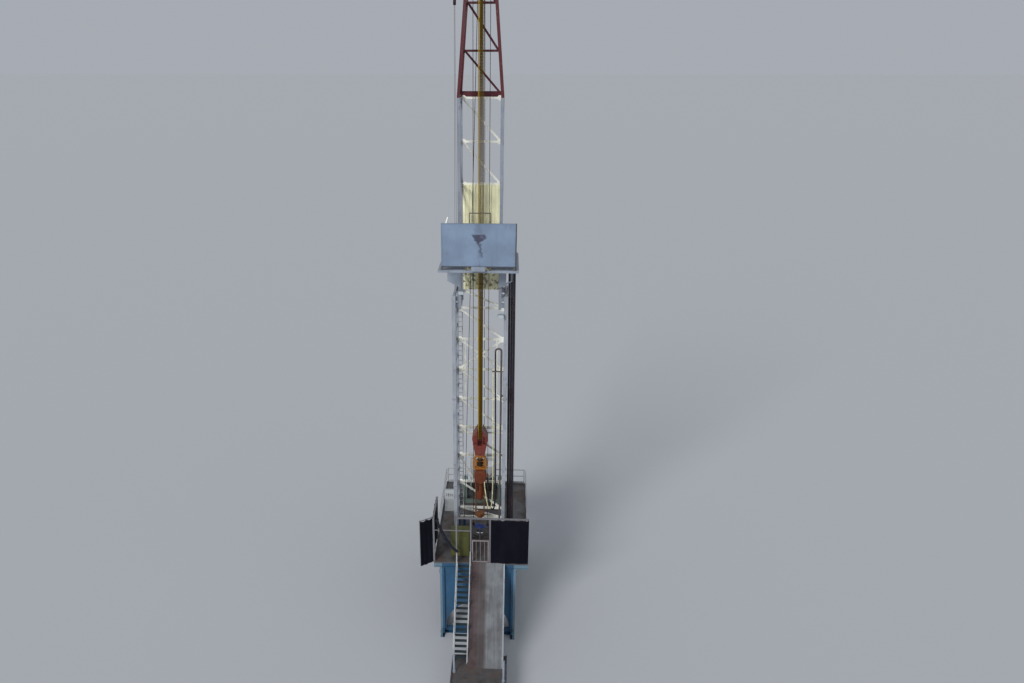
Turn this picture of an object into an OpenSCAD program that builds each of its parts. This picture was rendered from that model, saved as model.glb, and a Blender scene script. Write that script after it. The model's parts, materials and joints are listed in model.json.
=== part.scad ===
// Land drilling rig with a telescoping lattice mast, seen from its V-door side.
// Front is -Y, +X is to the right of somebody looking at the front, +Z is up.
// The origin lies on the underside of the middle base spreader.

/* [Substructure] */
// Height of the drill floor's top above the ground
floor_z = 5250; // [4800:10:6000]
// Outer width of the substructure
sub_w = 4500; // [4300:10:5000]
// Distance from the origin to the substructure's front face
sub_front = 4450; // [4200:10:5000]
// Distance from the origin to the substructure's rear face
sub_rear = 4650; // [4200:10:5200]
// Width of a substructure post
post_w = 250; // [200:5:300]
// Height of the skid runners
skid_h = 360; // [300:5:450]
// Length of a skid runner's nose beyond the posts
skid_nose = 350; // [200:10:600]
// Depth of the base spreaders
spreader_h = 260; // [200:5:300]
// Width of the base spreaders
spreader_w = 400; // [300:10:500]
// Radius of the arch in the portal plates
arch_r = 1950; // [1600:10:1950]
// Height of the arch's centre above the skids
arch_z = 150; // [0:10:300]
// Thickness of the portal plates
portal_t = 40; // [20:2:60]
// Depth of the side frames' top beams
side_beam_h = 300; // [200:10:400]
// Width of a side frame's braces
side_brace = 140; // [80:5:200]

/* [Drill floor] */
// Reach of the floor to the left of the well
floor_left = 2600; // [2500:10:3000]
// Reach of the floor to the right of the well
floor_right = 2950; // [2600:10:3400]
// Thickness of the deck
deck_t = 90; // [60:5:120]
// Depth of the cross beams below the deck
beam_h = 300; // [200:10:400]
// Width of the cross beams' flanges
beam_w = 200; // [120:10:260]
// Distance of the well's centre in front of the origin
well_y = 1350; // [1200:10:1500]
// Width and depth of the rotary table's housing
table_w = 1300; // [1000:10:1500]
// Height of the rotary table above the deck
table_h = 70; // [30:5:150]
// Radius of the rotary table's bore
table_bore = 260; // [200:5:350]
// Height of the railings
rail_h = 1070; // [950:10:1200]
// Thickness of railing tubes
rail_t = 48; // [36:2:60]
// Distance between railing posts
rail_pitch = 1500; // [900:50:2000]

/* [Windwalls and V-door] */
// Height of the front windwall above the floor
wall_h = 3050; // [2400:10:3300]
// Width of the front windwall
wall_w = 2200; // [1800:10:2300]
// Thickness of a windwall sheet
wall_t = 30; // [16:2:50]
// Width of the V-door gate
gate_w = 980; // [800:10:1100]
// Height of the V-door gate
gate_h = 1500; // [1100:10:1700]
// Tube size of the gate's frame
gate_bar = 60; // [40:5:80]
// Size of the V-door's posts
vpost = 80; // [60:5:120]

/* [Ramp and stair] */
// Width of the ramp's worn plate
ramp_w = 1470; // [1200:10:1700]
// Width of the ramp's ribbed strip
strip_w = 480; // [300:10:600]
// Distance of the ramp's foot in front of the floor
ramp_run = 3850; // [3400:10:4300]
// Place of the ramp's left edge, from the well's centre line
ramp_left = 400; // [300:10:600]
// Thickness of the ramp's plate
ramp_t = 40; // [20:5:60]
// Depth of the ramp's side beams
ramp_beam = 260; // [160:10:300]
// Width of the stair over its stringers
stair_w = 740; // [600:10:800]
// Distance of the stair's foot in front of the floor
stair_run = 3560; // [3300:10:4000]
// Number of treads
stair_n = 18; // [14:1:22]
// Depth of the stair's stringers
stringer_h = 240; // [180:10:300]
// Thickness of the stair's stringers
stringer_t = 24; // [12:2:40]

/* [Catwalk] */
// Height of the catwalk's deck
walk_h = 1070; // [900:10:1200]
// Width of the catwalk
walk_w = 3100; // [2900:10:3400]
// Number of catwalk bays
walk_n = 6; // [3:1:6]
// Length of one bay
walk_bay = 1500; // [1200:10:1700]
// Distance from the substructure to the catwalk
walk_gap = 2850; // [2500:10:3200]
// Size of the catwalk's bars
walk_bar = 150; // [100:5:200]

/* [Mast] */
// Outer width of the lower section
low_w = 3050; // [2900:10:3300]
// Outer depth of the lower section
low_d = 2300; // [2100:10:2500]
// Size of the lower section's legs
low_leg = 200; // [160:5:240]
// Height of the lower section's top above the ground
low_top = 21000; // [20000:50:22000]
// Outer width of the upper section
up_w = 2350; // [2150:10:2450]
// Size of the upper section's legs
up_leg = 160; // [120:5:180]
// Height of the upper section's foot above the ground
up_foot = 20200; // [18500:50:20400]
// Height of the upper section's top above the ground
up_top = 31200; // [30500:50:31500]
// Outer width of the red section's top
top_w = 1320; // [1200:10:1600]
// Outer depth of the red section's top
top_d = 1400; // [1200:10:1600]
// Size of the red section's legs
top_leg = 140; // [100:5:160]
// Height of the mast's top above the ground
mast_top = 37850; // [37000:50:38200]
// Height of one lower panel
low_panel = 1900; // [1700:10:2100]
// Height of one upper panel
up_panel = 2200; // [2000:10:2400]
// Size of the bracing bars
brace = 110; // [60:5:120]
// Height of the lower section's rear horizontals
rear_bar = 130; // [90:5:150]
// Distance from the centre to the foot of a knee brace in the rear face
knee_x = 400; // [300:10:500]
// Height of the mast's shoes
shoe_h = 300; // [200:10:400]

/* [Monkey board] */
// Height of the board above the ground
board_z = 22950; // [22000:50:24000]
// Width of the board
board_w = 4120; // [4000:20:4400]
// Reach of the board in front of the mast
board_d = 2150; // [1800:10:2400]
// Width of the board's windwall
board_wall_w = 3720; // [3400:20:3900]
// Height of the board's windwall
board_wall_h = 2160; // [1800:10:2400]
// Thickness of the windwall's sheets
board_wall_t = 40; // [20:2:60]
// Number of fingers on each side
finger_n = 6; // [4:1:8]
// Width of a finger
finger_w = 60; // [40:5:80]
// Depth of the board's beams
board_beam = 120; // [80:5:160]
// Width of the diving board
tongue_w = 700; // [500:10:800]

/* [Crown] */
// Depth of the crown beams
crown_h = 320; // [250:10:400]
// Radius of the crown sheaves
sheave_r = 430; // [350:5:460]
// Thickness of a sheave
sheave_t = 50; // [36:2:60]
// Number of crown sheaves
sheave_n = 5; // [3:1:6]
// Distance between sheaves
sheave_pitch = 64; // [62:1:80]
// Distance of the tugger lines from the centre line
tugger_x = 440; // [400:10:500]
// Width of the crown platform
crown_w = 2600; // [2300:20:3000]

/* [Travelling equipment] */
// Height of the travelling block's top at rest
block_top = 12550; // [12000:50:13500]
// Height of the travelling block
block_h = 1640; // [1400:10:1800]
// Width of the travelling block
block_w = 940; // [800:10:1000]
// Depth of the travelling block
block_d = 860; // [780:10:900]
// Height of the bail below the block
hook_h = 1130; // [1000:10:1300]
// Height of the top drive's gear case
drive_h = 850; // [700:10:1000]
// Width of the top drive's gear case
drive_w = 660; // [600:10:760]
// Length of the elevator links
link_l = 2500; // [2100:10:2600]
// Radius of a drill line
line_r = 16; // [10:1:20]
// Radius of the racked pipes
pipe_r = 64; // [50:1:70]
// Length of a racked stand
stand_l = 18600; // [18300:50:18700]
// Radius of the standpipe
riser_r = 55; // [45:1:70]
// Height of the standpipe's bend above the ground
stand_top = 17800; // [16000:50:18500]

/* [Drawworks] */
// Distance of the drum's axle behind the origin
drum_y = 2700; // [2500:10:2900]
// Radius of the drum
drum_r = 420; // [350:10:450]
// Height of the drum's axle above the floor
drum_z = 1000; // [900:10:1100]
// Length of the drum between its flanges
drum_l = 1500; // [1200:10:1700]

/* [Hidden] */

blue = [0.13, 0.30, 0.48];
white = [0.80, 0.82, 0.84];
mast_grey = [0.66, 0.72, 0.80];
mast_red = [0.42, 0.06, 0.07];
steel = [0.45, 0.44, 0.42];
dark = [0.06, 0.07, 0.09];

// Places that follow from the sizes above
frame_top = floor_z - deck_t - beam_h;
post_in = sub_w / 2 - post_w;
well = [0, -well_y, 0];
mast_front = -well_y - low_d / 2;
mast_rear = -well_y + low_d / 2;
mast_foot = floor_z + shoe_h;
up_d = low_d - 2 * low_leg;
up_front = -well_y - up_d / 2;
up_rear = -well_y + up_d / 2;
walk_front = -sub_front - walk_gap;
seat = 0.4;

// A bar from a to b, w wide in its own plane and t across it
module bar(a, b, w, t) {
    d = b - a;
    translate(a)
        rotate([0, acos(d[2] / norm(d)), atan2(d[1], d[0])])
            translate([-w / 2, -t / 2, 0]) cube([w, t, norm(d)]);
}

// A cube between two corners
module box(a, b) {
    translate(a) cube(b - a);
}

// An outline in the Y-Z plane, drawn out along X from x0 over w
module along_x(x0, w) {
    translate([x0, 0, 0]) rotate([90, 0, 90]) linear_extrude(w) children();
}

// An outline in the X-Z plane, drawn out along Y from y0 over t
module along_y(y0, t) {
    translate([0, y0 + t, 0]) rotate([90, 0, 0]) linear_extrude(t) children();
}

// The outline of a rolled I section, w wide and h high, standing on the X axis
module i_outline(w, h) {
    flange = h / 14;
    web = w / 14;
    translate([-w / 2, 0]) square([w, flange]);
    translate([-w / 2, h]) mirror([0, 1]) square([w, flange]);
    translate([-web / 2, 0]) square([web, h]);
}

// An I beam along X from a to b at y, standing on z
module beam_x(a, b, y, z, w, h) {
    translate([a, y, z]) rotate([90, 0, 90]) linear_extrude(b - a) i_outline(w, h);
}

// An I beam along Y from a to b at x, standing on z
module beam_y(a, b, x, z, w, h) {
    translate([x, b, z]) rotate([90, 0, 0]) linear_extrude(b - a) i_outline(w, h);
}

// A railing along X or Y from p over a length, with posts, a top rail and a knee rail
module railing(p, len, turn, h) {
    n = max(1, round(len / rail_pitch));
    step = (len - rail_t) / n;
    translate(p) rotate([0, 0, turn]) {
        for (i = [0 : n])
            translate([i * step, 0, 0]) cube([rail_t, rail_t, h]);
        for (z = [h - rail_t, h / 2])
            translate([0, 0, z]) cube([len, rail_t, rail_t]);
        cube([len, rail_t / 3, rail_pitch / 10]);
    }
}

module sub_base() color(blue) {
    for (s = [-1, 1])
        beam_y(-sub_front - skid_nose, sub_rear + skid_nose, s * (sub_w / 2 - post_w / 2), 0,
            post_w, skid_h);
    for (y = [-sub_front + post_w, 0, sub_rear - post_w])
        beam_x(-post_in + seat, post_in - seat, y, 0, spreader_w, spreader_h);
}

// Two posts with a plate between them that is cut to a round arch
module portal(y0) {
    for (s = [0, 1]) mirror([s, 0, 0])
        box([post_in, y0, skid_h], [sub_w / 2, y0 + post_w, frame_top]);
    difference() {
        box([-post_in, y0 + (post_w - portal_t) / 2, skid_h],
            [post_in, y0 + (post_w + portal_t) / 2, frame_top]);
        along_y(y0, post_w) arch_opening(arch_r);
    }
    intersection() {
        box([-post_in, y0, skid_h], [post_in, y0 + post_w, frame_top]);
        difference() {
            along_y(y0 + post_w / 5, post_w * 3 / 5) arch_opening(arch_r);
            along_y(y0, post_w) arch_opening(arch_r - portal_t);
        }
    }
}

// The opening below the arch
module arch_opening(r) {
    translate([0, skid_h + arch_z]) circle(r, $fn = 96);
    translate([-r, skid_h - 1]) square([2 * r, arch_z + 1]);
}

module sub_front_frame() color(blue) portal(-sub_front);

module sub_rear_frame() color(blue) portal(sub_rear - post_w);

// One braced side between the corner posts
module sub_side() {
    x = sub_w / 2 - post_w / 2;
    y0 = -sub_front + post_w;
    y1 = sub_rear - post_w;
    bays = 3;
    step = (y1 - y0) / bays;
    box([post_in, y0, frame_top - side_beam_h], [sub_w / 2, y1, frame_top]);
    for (i = [1 : bays - 1])
        box([x - side_brace / 2, y0 + i * step - side_brace / 2, skid_h],
            [x + side_brace / 2, y0 + i * step + side_brace / 2, frame_top]);
    intersection() {
        box([post_in, y0, skid_h], [sub_w / 2, y1, frame_top]);
        for (i = [0 : bays - 1]) {
            a = [x, y0 + i * step, i % 2 == 0 ? skid_h : frame_top - side_beam_h];
            b = [x, y0 + (i + 1) * step, i % 2 == 0 ? frame_top - side_beam_h : skid_h];
            bar(a, b, side_brace, side_brace * 3 / 4);
        }
    }
}

module sub_side_left() color(blue) mirror([1, 0, 0]) sub_side();

module sub_side_right() color(blue) sub_side();

// Places of the cross beams: two of them carry the rotary table
table_front = -well_y - table_w / 2;
table_back = -well_y + table_w / 2;
beam_ys = [-sub_front + beam_w / 2, (-sub_front + table_front) / 2, table_front, table_back,
    table_back + (sub_rear - table_back) / 3, table_back + (sub_rear - table_back) * 2 / 3,
    sub_rear - beam_w / 2];

module floor_beams() color(blue)
    for (y = beam_ys)
        beam_x(-floor_left, floor_right, y, frame_top, beam_w, beam_h);

module drill_floor() color(steel) {
    gap = 6;
    z = floor_z - deck_t;
    box([-floor_left, -sub_front, z], [floor_right, table_front - gap, floor_z]);
    box([-floor_left, table_back + gap, z], [floor_right, sub_rear, floor_z]);
    box([-floor_left, table_front, z], [-table_w / 2 - gap, table_back, floor_z]);
    box([table_w / 2 + gap, table_front, z], [floor_right, table_back, floor_z]);
}

module rotary_table() color(steel) difference() {
    union() {
        box([-table_w / 2, table_front, floor_z - deck_t],
            [table_w / 2, table_back, floor_z + table_h / 2]);
        translate(well) translate([0, 0, floor_z])
            cylinder(r = table_w * 0.42, h = table_h, $fn = 64);
    }
    translate(well) translate([0, 0, floor_z - deck_t - 1])
        cylinder(r = table_bore, h = deck_t + table_h + 2, $fn = 64);
}

// The railings stand just inside the floor's edges
module floor_rail_left() color(white)
    railing([-floor_left + rail_t, -sub_front + left_wall_l + rail_t, floor_z],
        sub_rear + sub_front - left_wall_l - 3 * rail_t, 90, rail_h);

module floor_rail_right() color(white)
    railing([floor_right, -sub_front + vpost + rail_t, floor_z],
        sub_rear + sub_front - vpost - 3 * rail_t, 90, rail_h);

module floor_rail_rear() color(white)
    railing([-floor_left + 2 * rail_t, sub_rear - rail_t, floor_z],
        floor_left + floor_right - 4 * rail_t, 0, rail_h);

// The V-door lies between two posts; the windwall hangs to the right of it
left_wall_l = 2200;
door_left = -340;
door_right = door_left + gate_w;
hinge_gap = 30;
post_l = door_left - hinge_gap - vpost;
post_r = door_right + hinge_gap;
wall_left = post_r + vpost;
wall_right = wall_left + wall_w;
frame_l = post_l - stair_w - 2 * rail_t;

module windwall_frame() color(white) {
    top = floor_z + wall_h;
    for (x = [frame_l, post_l, post_r, floor_right - vpost])
        box([x, -sub_front, floor_z], [x + vpost, -sub_front + vpost, top]);
    box([frame_l, -sub_front, top - vpost], [floor_right, -sub_front + vpost, top]);
    box([-floor_left + vpost, -sub_front, floor_z + rail_h * 2], [post_l + vpost,
        -sub_front + rail_t, floor_z + rail_h * 2 + rail_t]);
    for (y = [-sub_front, -sub_front + left_wall_l - vpost])
        box([-floor_left, y, floor_z], [-floor_left + vpost, y + vpost, top]);
    box([-floor_left, -sub_front, top - vpost], [-floor_left + vpost,
        -sub_front + left_wall_l, top]);
    at_flap() {
        for (z = [0, (wall_h - rail_t) / 2, wall_h - rail_t])
            box([-rail_t, -rail_t, z], [flap_l, 0, z + rail_t]);
        box([flap_l - rail_t, -rail_t, 0], [flap_l, 0, wall_h]);
    }
}

module windwall_front() color(dark)
    box([wall_left, -sub_front - wall_t, floor_z + wall_t],
        [wall_right, -sub_front, floor_z + wall_h - vpost]);

// The left sheets: one on the floor's side and one on a wing that stands out forward
flap_l = 860;
flap_turn = 215;
module at_flap() translate([-floor_left, -sub_front, floor_z]) rotate([0, 0, flap_turn])
    children();

module windwall_left() color(dark) {
    box([-floor_left - wall_t, -sub_front + 2 * vpost, floor_z + wall_t],
        [-floor_left - seat, -sub_front + left_wall_l, floor_z + wall_h - vpost / 2]);
    at_flap() box([rail_t / 2, seat, wall_t], [flap_l, wall_t, wall_h - rail_t / 2]);
}

hinge_x = door_left - hinge_gap / 2;
hinge_y = -sub_front + vpost;
hinge_l = 140;
module v_door_gate() color(white) {
    z0 = floor_z + 30;
    y = -sub_front + 10;
    for (x = [door_left, door_right - gate_bar])
        box([x, y, z0], [x + gate_bar, y + gate_bar, z0 + gate_h]);
    for (z = [z0, z0 + gate_h - gate_bar])
        box([door_left, y, z], [door_right, y + gate_bar, z + gate_bar]);
    for (k = [1 : 3])
        box([door_left + k * gate_w / 4 - gate_bar / 6, y + gate_bar / 3, z0],
            [door_left + k * gate_w / 4 + gate_bar / 6, y + gate_bar * 2 / 3, z0 + gate_h]);
    for (z = [z0 + gate_h / 8, z0 + gate_h * 3 / 4]) {
        translate([hinge_x, hinge_y, z]) cylinder(r = hinge_gap / 2 - seat, h = hinge_l, $fn = 32);
        box([hinge_x, y + gate_bar, z], [door_left + gate_bar, y + gate_bar + 8, z + hinge_l]);
    }
}

// A sloping band in the Y-Z plane, from the floor's edge to the catwalk's deck,
// between two depths below the line of the slope
module slope_band(run, d0, d1) {
    rise = floor_z - walk_h;
    len = norm([run, rise]);
    foot = -sub_front - run;
    polygon([[-sub_front, floor_z - d0 * len / run], [foot + d0 * len / rise, walk_h],
        [foot + d1 * len / rise, walk_h], [-sub_front, floor_z - d1 * len / run]]);
}

module ramp_plate() color(steel)
    along_x(-ramp_left + strip_w, ramp_w) slope_band(ramp_run, 0, ramp_t);

module ramp_strip() color([0.35, 0.25, 0.24])
    along_x(-ramp_left, strip_w) slope_band(ramp_run, 0, ramp_t);

// Beams below the ramp, with a curb along its right edge
module ramp_frame() color(white) {
    bw = ramp_beam / 3;
    for (x = [-ramp_left, -ramp_left + strip_w])
        along_x(x, bw) slope_band(ramp_run, ramp_t, ramp_t + ramp_beam);
    x = -ramp_left + strip_w + ramp_w;
    along_x(x - bw, bw) slope_band(ramp_run, ramp_t, ramp_t + ramp_beam);
    along_x(x, bw / 2) slope_band(ramp_run, 0, ramp_t + ramp_beam);
}

stair_right = -ramp_left - rail_t - 12;
stair_left = stair_right - stair_w;
stair_rise = (floor_z - walk_h) / (stair_n + 1);
stair_go = stair_run / (stair_n + 1);

module stair_stringers() color(white)
    for (x = [stair_left, stair_right - stringer_t])
        along_x(x, stringer_t) slope_band(stair_run, 0, stringer_h);

module stair_treads() color(steel)
    for (i = [1 : stair_n])
        translate([stair_left + stringer_t, -sub_front - i * stair_go,
            floor_z - i * stair_rise - stringer_t])
            cube([stair_w - 2 * stringer_t, stair_go, stringer_t]);

module stair_handrails() color(white)
    for (x = [stair_left - rail_t, stair_right]) {
        top = [x + rail_t / 2, -sub_front - rail_t, floor_z - stair_rise / 2];
        foot = [x + rail_t / 2, -sub_front - stair_run + 2 * rail_t, walk_h + stair_rise / 2];
        up = [0, 0, rail_h * 0.85];
        for (k = [0.5, 1]) bar(foot + up * k, top + up * k, rail_t * 0.8, rail_t * 0.8);
        for (i = [0 : 4]) {
            p = foot + (top - foot) * i / 4;
            bar(p - [0, 0, stringer_h / 3], p + up, rail_t, rail_t);
        }
    }

// Two side frames with posts, and cross bars seated between them
module catwalk_frame() color(white) {
    y1 = walk_front;
    y0 = walk_front - walk_n * walk_bay;
    top = walk_h - ramp_t;
    step = (y1 - y0 - walk_bar) / walk_n;
    for (x = [walk_x0, walk_x0 + walk_w - walk_bar]) {
        box([x, y0, top - walk_bar], [x + walk_bar, y1, top]);
        box([x, y0, 0], [x + walk_bar, y1, walk_bar]);
        for (i = [0 : walk_n])
            box([x, y0 + i * step, 0], [x + walk_bar, y0 + i * step + walk_bar, top]);
    }
    for (i = [0 : walk_n])
        box([walk_x0 + walk_bar + seat, y0 + i * step, top - walk_bar],
            [walk_x0 + walk_w - walk_bar - seat, y0 + i * step + walk_bar, top]);
}

walk_x0 = -1300;

module catwalk_deck() color(steel)
    for (i = [0 : walk_n - 1])
        translate([walk_x0, walk_front - (i + 1) * walk_bay, walk_h - ramp_t])
            cube([walk_w, walk_bay - 6, ramp_t]);

module mast_shoes() color(blue)
    for (sx = [-1, 1], sy = [-1, 1])
        translate([sx * (low_w - low_leg) / 2, -well_y + sy * (low_d - low_leg) / 2, floor_z]) {
            translate([-low_leg, -low_leg, 0]) cube([2 * low_leg, 2 * low_leg, shoe_h / 6]);
            translate([-low_leg * 0.7, -low_leg * 0.7, 0])
                cube([low_leg * 1.4, low_leg * 1.4, shoe_h]);
        }

// Heights of the horizontals
low_head = 1330;
low_levels = [for (z = low_top - low_head; z > mast_foot + low_leg; z = z - low_panel) z];
side_levels = [for (z = low_top - low_head; z > mast_foot + low_leg; z = z - low_panel / 2) z];
up_levels = [for (z = up_top - brace / 2; z > up_foot; z = z - up_panel) z];
top_step = (mast_top - up_top) / 3;

// Two legs and the bracing between them, in the Y-Z plane with its outer face at x = 0
module side_frame(y0, y1, z0, z1, leg, levels) {
    for (y = [y0, y1 - leg])
        box([-leg, y, z0], [0, y + leg, z1]);
    a = y0 + leg / 2;
    b = y1 - leg / 2;
    zs = concat([z1 - brace], levels, [z0 + brace]);
    for (i = [1 : len(zs) - 2])
        bar([-leg / 2, a, zs[i]], [-leg / 2, b, zs[i]], brace, brace);
    for (i = [0 : len(zs) - 2])
        bar([-leg / 2, i % 2 == 0 ? a : b, zs[i]], [-leg / 2, i % 2 == 0 ? b : a, zs[i + 1]],
            brace, brace * 0.8);
    for (z = [z0 + brace, z1 - brace])
        bar([-leg / 2, a, z], [-leg / 2, b, z], brace * 2, brace);
}

// Bracing between the rear legs, in the X-Z plane at y, half the width h. A panel in
// crossed has two diagonals and one in kneed has a brace to each side of the middle.
module rear_frame(y, h, levels, size, crossed, kneed) {
    n = len(levels);
    intersection() {
        box([-h, y - size, levels[n - 1] - size], [h, y + size, levels[0] + size]);
        union() {
            for (i = [0 : n - 1])
                bar([-h - 1, y, levels[i]], [h + 1, y, levels[i]], size, brace);
            for (i = [0 : n - 2])
                if (len(search(i, kneed)) == 0)
                    bar([-h, y, levels[i]], [h, y, levels[i + 1]], brace, brace * 0.8);
            for (i = crossed)
                bar([h, y, levels[i]], [-h, y, levels[i + 1]], brace, brace * 0.8);
            for (i = kneed, s = [-1, 1])
                bar([s * h, y, levels[i]], [s * knee_x, y, levels[i + 1]], brace, brace * 0.7);
        }
    }
}

module mast_lower_right() color(mast_grey) translate([low_w / 2, 0, 0])
    side_frame(mast_front, mast_rear, mast_foot, low_top, low_leg, side_levels);

module mast_lower_left() color(mast_grey) mirror([1, 0, 0]) translate([low_w / 2, 0, 0])
    side_frame(mast_front, mast_rear, mast_foot, low_top, low_leg, side_levels);

// The lower section's rear face, with a double head below the fifth panel and inner
// uprights beside the crossed one
module mast_lower_rear() color(mast_grey) {
    y = mast_rear - low_leg / 2;
    h = low_w / 2 - low_leg;
    z = concat([low_top - rear_bar], low_levels, [mast_foot + rear_bar]);
    rear_frame(y, h, z, rear_bar, [2], [6]);
    upright = rear_bar * 2 / 3;
    for (i = [5, 6])
        box([-h, y - brace * 0.6, z[i] - rear_bar * 0.85], [h, y + brace * 0.6, z[i]]);
    box([-h, y - upright / 2, z[5] - low_panel / 5 - upright / 2],
        [h, y + upright / 2, z[5] - low_panel / 5 + upright / 2]);
    for (s = [0, 1]) mirror([s, 0, 0])
        box([h - 3.4 * rear_bar, y - upright / 2, z[4] + low_panel / 6],
            [h - 3.4 * rear_bar + upright, y + upright / 2, z[2]]);
}

module mast_upper_right() color(white) translate([up_w / 2, 0, 0])
    side_frame(up_front, up_rear, up_foot, up_top, up_leg, up_levels);

module mast_upper_left() color(white) mirror([1, 0, 0]) translate([up_w / 2, 0, 0])
    side_frame(up_front, up_rear, up_foot, up_top, up_leg, up_levels);

module mast_upper_rear() color(white)
    rear_frame(up_rear - up_leg / 2, up_w / 2 - up_leg, up_levels, brace, [], []);

// The tapered side: legs lean in and back from up_w and up_d to top_w and top_d
function top_x(z) = up_w / 2 + (top_w - up_w) / 2 * (z - up_top) / (mast_top - up_top);
function top_in(z) = top_x(z) - top_leg;
function top_y(z) = up_d / 2 + (top_d - up_d) / 2 * (z - up_top) / (mast_top - up_top);

module top_side() {
    g = top_leg / 2;
    zs = [for (i = [0 : 3]) up_top + i * top_step];
    intersection() {
        box([0, -up_d, up_top], [up_w, up_d, mast_top]);
        union() {
            for (s = [0, 1]) mirror([0, s, 0]) top_leg_bar();
            for (i = [0 : 3]) {
                z = min(max(zs[i], up_top + brace), mast_top - brace);
                bar([top_x(z) - g, -top_y(z) + g, z], [top_x(z) - g, top_y(z) - g, z],
                    brace, brace);
            }
            for (i = [0 : 2]) {
                s = i % 2 == 0 ? 1 : -1;
                bar([top_x(zs[i]) - g, s * (top_y(zs[i]) - g), zs[i] + brace],
                    [top_x(zs[i + 1]) - g, -s * (top_y(zs[i + 1]) - g), zs[i + 1] - brace],
                    brace, brace * 0.8);
            }
        }
    }
}

// A leg that leans in two directions, the common part of two leaning outlines
module top_leg_bar() intersection() {
    along_y(0, up_d) polygon([[top_x(up_top) - top_leg, up_top], [top_x(up_top), up_top],
        [top_x(mast_top), mast_top], [top_x(mast_top) - top_leg, mast_top]]);
    along_x(0, up_w) polygon([[top_y(up_top) - top_leg, up_top], [top_y(up_top), up_top],
        [top_y(mast_top), mast_top], [top_y(mast_top) - top_leg, mast_top]]);
}

module mast_top_right() color(mast_red) translate(well) top_side();

module mast_top_left() color(mast_red) translate(well) mirror([1, 0, 0]) top_side();

module mast_top_rear() color(mast_red) translate(well) {
    h0 = top_in(up_top);
    h1 = top_in(mast_top);
    g = top_leg / 2;
    zs = [for (i = [0 : 3]) min(max(up_top + i * top_step, up_top + brace), mast_top - brace)];
    intersection() {
        along_y(0, up_d) polygon([[-h0, up_top], [h0, up_top], [h1, mast_top], [-h1, mast_top]]);
        union() {
            for (i = [0 : 3])
                bar([-h0, top_y(zs[i]) - g, zs[i]], [h0, top_y(zs[i]) - g, zs[i]],
                    i == 0 ? brace * 3 : brace, brace);
            for (i = [0 : 2])
                bar([-top_in(zs[i + 1]), top_y(zs[i + 1]) - g, zs[i + 1]],
                    [top_in(zs[i]), top_y(zs[i]) - g, zs[i]], brace, brace * 0.8);
        }
    }
}

// Blocks between the two nested sections
module mast_guides() color(steel)
    for (s = [0, 1], y = [up_front, up_rear - up_leg], z = [up_foot + brace, low_top - 3 * brace])
        mirror([s, 0, 0])
            box([up_w / 2, y, z], [low_w / 2 - low_leg, y + up_leg, z + 2 * brace]);

// A ladder along Z from z0 to z1, centred at x on the outside of the rear face
module mast_ladder() color(white) {
    w = 400;
    x = -low_w / 2;
    y = mast_rear;
    for (k = [0, 1])
        box([x + k * w, y, mast_foot], [x + k * w + rail_t, y + rail_t, low_top]);
    for (z = [mast_foot + 300 : 300 : low_top - 100])
        box([x + rail_t, y + rail_t / 4, z], [x + w, y + rail_t * 3 / 4, z + rail_t / 2]);
}

// Crown: beams on the mast's top and a stack of sheaves on one axle
crown_top = mast_top + crown_h;
sheave_z = crown_top + sheave_r;
stack = sheave_n * sheave_pitch;
outer_x = (sheave_n - 1) / 2 * sheave_pitch;
cheek_t = 20;
cheek_x = sheave_t / 2 + 4;
eye_z = mast_top - 330;
eye_y = -well_y + top_d / 2 - beam_w + 38;

module crown_frame() color(mast_red) {
    for (s = [-1, 1])
        beam_x(-top_w / 2, top_w / 2, -well_y + s * (top_d / 2 - beam_w / 2), mast_top,
            beam_w, crown_h);
    for (s = [-1, 1])
        translate([s * (stack / 2 + 90), -well_y, 0])
            box([-30, -top_d / 2 + beam_w, mast_top], [30, top_d / 2 - beam_w, sheave_z + 120]);
    // Cheeks of the fast line's sheave on the rear beam, and hangers for the tugger lines
    for (s = [-1, 1]) {
        translate([outer_x + s * (cheek_x + cheek_t / 2), 0, 0])
            box([-cheek_t / 2, -well_y + top_d / 2 - beam_w, crown_top],
                [cheek_t / 2, fast_y + 60, sheave_z + 60]);
        translate([s * tugger_x, eye_y, 0]) box([-12, -35, eye_z], [12, 35, mast_top]);
    }
}

// A grooved sheave with its axis along X
groove = 30;
module sheave(r, t, bore) rotate([0, 90, 0]) rotate_extrude($fn = 64)
    polygon([[bore, -t / 2], [r, -t / 2], [r, -t * 0.44], [r - groove, -t * 0.36],
        [r - groove, t * 0.36], [r, t * 0.44], [r, t / 2], [bore, t / 2]]);

line_reach = sheave_r - groove + line_r + seat;
fast_y = -well_y + 2 * line_reach - 40;

// Four sheaves on one axle, and the fast line's own sheave behind them
module crown_sheaves() color(steel) {
    translate([0, -well_y, sheave_z]) {
        for (i = [0 : block_n - 1])
            translate([i * sheave_pitch - outer_x, 0, 0]) sheave(sheave_r, sheave_t, 62);
        rotate([0, 90, 0]) cylinder(r = 60, h = stack + 120, center = true, $fn = 48);
    }
    translate([outer_x, fast_y, sheave_z]) {
        sheave(sheave_r, sheave_t, 62);
        rotate([0, 90, 0]) cylinder(r = 60, h = 2 * (cheek_x - seat), center = true, $fn = 48);
    }
}

module crown_platform() color(mast_red) {
    hx = crown_w / 2;
    hy = crown_w / 2;
    translate([0, -well_y, crown_top]) {
        difference() {
            box([-hx, -hy, 0], [hx, hy, 40]);
            box([-stack / 2 - 200, -hy / 2 - 60, -1], [stack / 2 + 200, hy / 2 + 60, 41]);
            box([outer_x - 60, 0, -1], [outer_x + 60, hy + 1, 41]);
        }
        for (s = [0, 1]) mirror([0, s, 0])
            railing([-hx, -hy, 40], 2 * hx, 0, rail_h);
        for (s = [0, 1]) mirror([s, 0, 0])
            railing([-hx + rail_t, -hy + rail_t, 40], 2 * (hy - rail_t), 90, rail_h);
    }
}

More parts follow.
